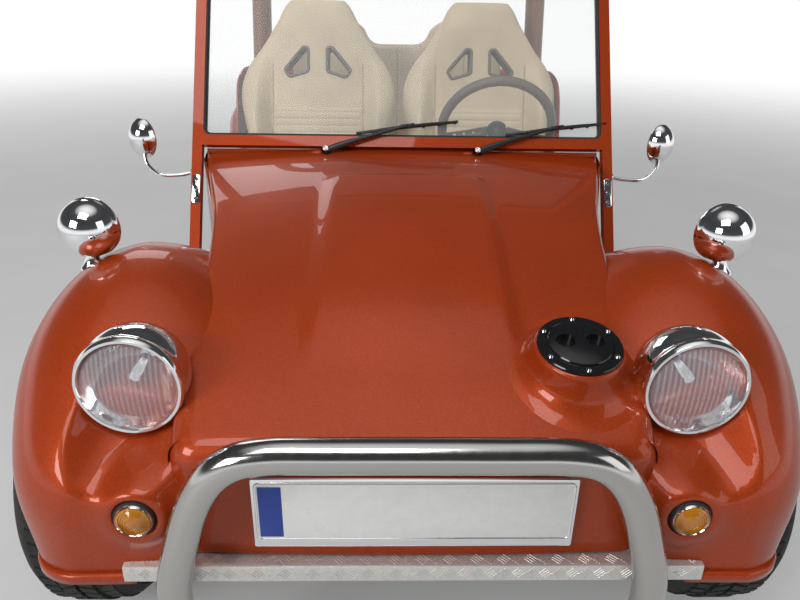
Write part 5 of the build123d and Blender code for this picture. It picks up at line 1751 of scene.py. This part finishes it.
class BUGGY_OT_rest(bpy.types.Operator):
    """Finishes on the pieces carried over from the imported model."""

    bl_idname = "buggy.rest"
    bl_label = "Chassis and cabin"

    def execute(self, context):
        finishes = {
            "bar": ("roll_bar",),
            "black": ("steering_column", "cockpit_controls", "fan_shroud"),
            "chassis": ("floor_pan", "front_axle", "rear_axle"),
            "alloy": ("engine",),
            "steel": ("exhaust", "rear_bumper"),
            "iron": ("knuckle_left", "knuckle_right", "track_rods"),
        }
        for finish, nodes in finishes.items():
            for node in nodes:
                paint_with(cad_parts[node], MATS[finish])
        return {"FINISHED"}


# Studio
def height_ramp(tree, stops, socket):
    """Grey levels by height in the sky, into a socket."""
    where = add_node(tree, "ShaderNodeTexCoord")
    split = add_node(tree, "ShaderNodeSeparateXYZ")
    height = add_node(tree, "ShaderNodeMapRange")
    height.inputs["From Min"].default_value = -1
    ramp = add_node(tree, "ShaderNodeValToRGB")
    for at, level in stops:
        stop = ramp.color_ramp.elements.new(at)
        stop.color = (level * 0.96, level * 0.98, level * 1.02, 1)
    for spare in (ramp.color_ramp.elements[-1], ramp.color_ramp.elements[0]):
        ramp.color_ramp.elements.remove(spare)
    tree.links.new(where.outputs["Generated"], split.inputs[0])
    tree.links.new(split.outputs["Z"], height.inputs["Value"])
    tree.links.new(height.outputs["Result"], ramp.inputs["Fac"])
    tree.links.new(ramp.outputs["Color"], socket)


def seen_rays(tree, kinds):
    """1 for the named kinds of ray."""
    path = add_node(tree, "ShaderNodeLightPath")
    total = path.outputs[kinds[0]]
    for kind in kinds[1:]:
        most = add_node(tree, "ShaderNodeMath", operation="MAXIMUM")
        tree.links.new(total, most.inputs[0])
        tree.links.new(path.outputs[kind], most.inputs[1])
        total = most.outputs[0]
    return total


def studio_world():
    """Soft dim studio light; the camera and glass see a white backdrop, metal its foot and a dim ceiling."""
    world = bpy.data.worlds.new("studio")
    world.use_nodes = True
    tree = world.node_tree
    light = tree.nodes["Background"]
    light.inputs[1].default_value = 1.0
    height_ramp(tree, ((0.0, 0.12), (0.49, 0.20), (0.56, 0.22), (0.75, 0.12), (1.0, 0.36)), light.inputs[0])
    shine = add_node(tree, "ShaderNodeBackground")
    stops = ((0.0, 0.9), (0.53, 1.0), (0.56, 0.55), (0.60, 0.07), (0.80, 0.05), (0.92, 0.07), (1.0, 0.12))
    height_ramp(tree, stops, shine.inputs[0])
    backdrop = add_node(tree, "ShaderNodeBackground")
    backdrop.inputs[0].default_value = (1, 1, 1, 1)
    below = light.outputs[0]
    for kinds, above in ((("Is Glossy Ray",), shine), (("Is Camera Ray", "Is Transmission Ray"), backdrop)):
        mix = add_node(tree, "ShaderNodeMixShader")
        tree.links.new(seen_rays(tree, kinds), mix.inputs["Fac"])
        tree.links.new(below, mix.inputs[1])
        tree.links.new(above.outputs[0], mix.inputs[2])
        below = mix.outputs[0]
    tree.links.new(below, tree.nodes["World Output"].inputs["Surface"])
    return world


def floor_paper():
    """Pale paper that keeps the shadow and runs out into the white backdrop."""
    mat = new_material("floor_paper", Roughness=0.7)
    tree = mat.node_tree
    grain = use_group(mat, grain_group(), Scale=2.0, Detail=4.0)
    mix_colours(mat, grain.outputs["Mask"], (0.47, 0.47, 0.47), (0.50, 0.50, 0.50))
    white = add_node(tree, "ShaderNodeEmission")
    where = add_node(tree, "ShaderNodeTexCoord")
    far = add_node(tree, "ShaderNodeVectorMath", operation="LENGTH")
    share = add_node(tree, "ShaderNodeMapRange", interpolation_type="SMOOTHSTEP")
    for socket, value in (("From Min", 2.5), ("From Max", 12.0), ("To Min", 0.16), ("To Max", 1.0)):
        share.inputs[socket].default_value = value
    seen = add_node(tree, "ShaderNodeMath", operation="MULTIPLY")
    mix = add_node(tree, "ShaderNodeMixShader")
    link(mat, where.outputs["Object"], far.inputs[0])
    link(mat, far.outputs["Value"], share.inputs["Value"])
    link(mat, share.outputs["Result"], seen.inputs[0])
    link(mat, seen_rays(tree, ("Is Camera Ray", "Is Glossy Ray", "Is Transmission Ray")), seen.inputs[1])
    link(mat, seen.outputs[0], mix.inputs["Fac"])
    link(mat, shader_of(mat).outputs[0], mix.inputs[1])
    link(mat, white.outputs[0], mix.inputs[2])
    link(mat, mix.outputs[0], tree.nodes["output"].inputs["Surface"])
    return mat

FLOOR_HALF = 40
# columns: name, place, aim, width and height, watts
LIGHTS = (
    ("key", (-3.4, -4.6, 3.0), (0, -0.8, 0.6), (2.2, 1.8), 135),
    ("top", (-0.8, -3.2, 5.0), (0, -0.2, 0.5), (2.5, 2.0), 65),
    ("fill", (4.0, -3.0, 2.5), (0, -0.5, 0.6), (2.5, 2.5), 26),
    ("back", (-2.5, 5.5, 4.0), (0, 0.5, 0.7), (3.0, 2.0), 45),
)


class BUGGY_OT_stage(bpy.types.Operator):
    """Pale floor, soft studio light and the camera at the photograph's angle."""

    bl_idname = "buggy.stage"
    bl_label = "Floor, light and camera"

    def execute(self, context):
        ends = (-FLOOR_HALF, FLOOR_HALF)
        floor = grid_piece("floor", [[(x, y, 0.0) for x in ends] for y in ends])
        paint_with(floor, floor_paper())
        context.scene.world = studio_world()
        for name, spot, aim, size, power in LIGHTS:
            data = bpy.data.lights.new(name, "AREA")
            data.shape = "RECTANGLE"
            data.size, data.size_y = size
            data.energy = power
            lamp = new_object(name, data)
            lamp.location = spot
            lamp.rotation_euler = (Vector(aim) - Vector(spot)).to_track_quat("-Z", "Y").to_euler()
        aim_camera(context.scene)
        context.scene.view_settings.view_transform = "Standard"
        return {"FINISHED"}


PHOTO_WIDTH = 800
FOCAL_PIXELS = 680
SENSOR_WIDTH = 36
CAMERA_AT = Vector((-0.054, -2.535, 1.290))
CAMERA_PITCH, CAMERA_YAW, CAMERA_ROLL = radians(24.33), radians(1.5), radians(0.99)


def aim_camera(scene):
    """The photograph's viewpoint, from the fit over the plate and lamps."""
    level = Vector((sin(CAMERA_YAW), cos(CAMERA_YAW), 0))
    ahead = level * cos(CAMERA_PITCH) - UP * sin(CAMERA_PITCH)
    right = Vector((cos(CAMERA_YAW), -sin(CAMERA_YAW), 0))
    up = right.cross(ahead)
    turned_right = right * cos(CAMERA_ROLL) + up * sin(CAMERA_ROLL)
    turned_up = up * cos(CAMERA_ROLL) - right * sin(CAMERA_ROLL)
    data = bpy.data.cameras.new("photo_view")
    data.sensor_width = SENSOR_WIDTH
    data.lens = SENSOR_WIDTH * FOCAL_PIXELS / PHOTO_WIDTH
    camera = new_object("photo_view", data)
    turn = Matrix((turned_right, turned_up, -ahead)).transposed().to_4x4()
    camera.matrix_world = Matrix.Translation(CAMERA_AT) @ turn
    scene.camera = camera


class BUGGY_PT_panel(bpy.types.Panel):
    bl_idname = "BUGGY_PT_panel"
    bl_label = "Dune buggy"
    bl_space_type = "VIEW_3D"
    bl_region_type = "UI"
    bl_category = "Buggy"

    def draw(self, context):
        for name in ("paint", "leather", "flake", "pad_pressure", "tread_blocks"):
            self.layout.prop(context.scene.buggy, name)
        for operator in OPERATORS:
            self.layout.operator(operator.bl_idname)


OPERATORS = (
    BUGGY_OT_stage, BUGGY_OT_body, BUGGY_OT_lamps, BUGGY_OT_front_bar, BUGGY_OT_screen, BUGGY_OT_mirrors,
    BUGGY_OT_filler, BUGGY_OT_seats, BUGGY_OT_steering, BUGGY_OT_wheels, BUGGY_OT_tail, BUGGY_OT_rest,
)
CLASSES = (BuggySettings, *OPERATORS, BUGGY_PT_panel)


def register():
    for cls in CLASSES:
        bpy.utils.register_class(cls)
    bpy.types.Scene.buggy = PointerProperty(type=BuggySettings)


def unregister():
    del bpy.types.Scene.buggy
    for cls in reversed(CLASSES):
        bpy.utils.unregister_class(cls)


def main():
    register()
    MATS.update(make_materials(bpy.context.scene.buggy))
    for operator in OPERATORS:
        group, name = operator.bl_idname.split(".")
        getattr(getattr(bpy.ops, group), name)()


if __name__ == "__main__":
    main()
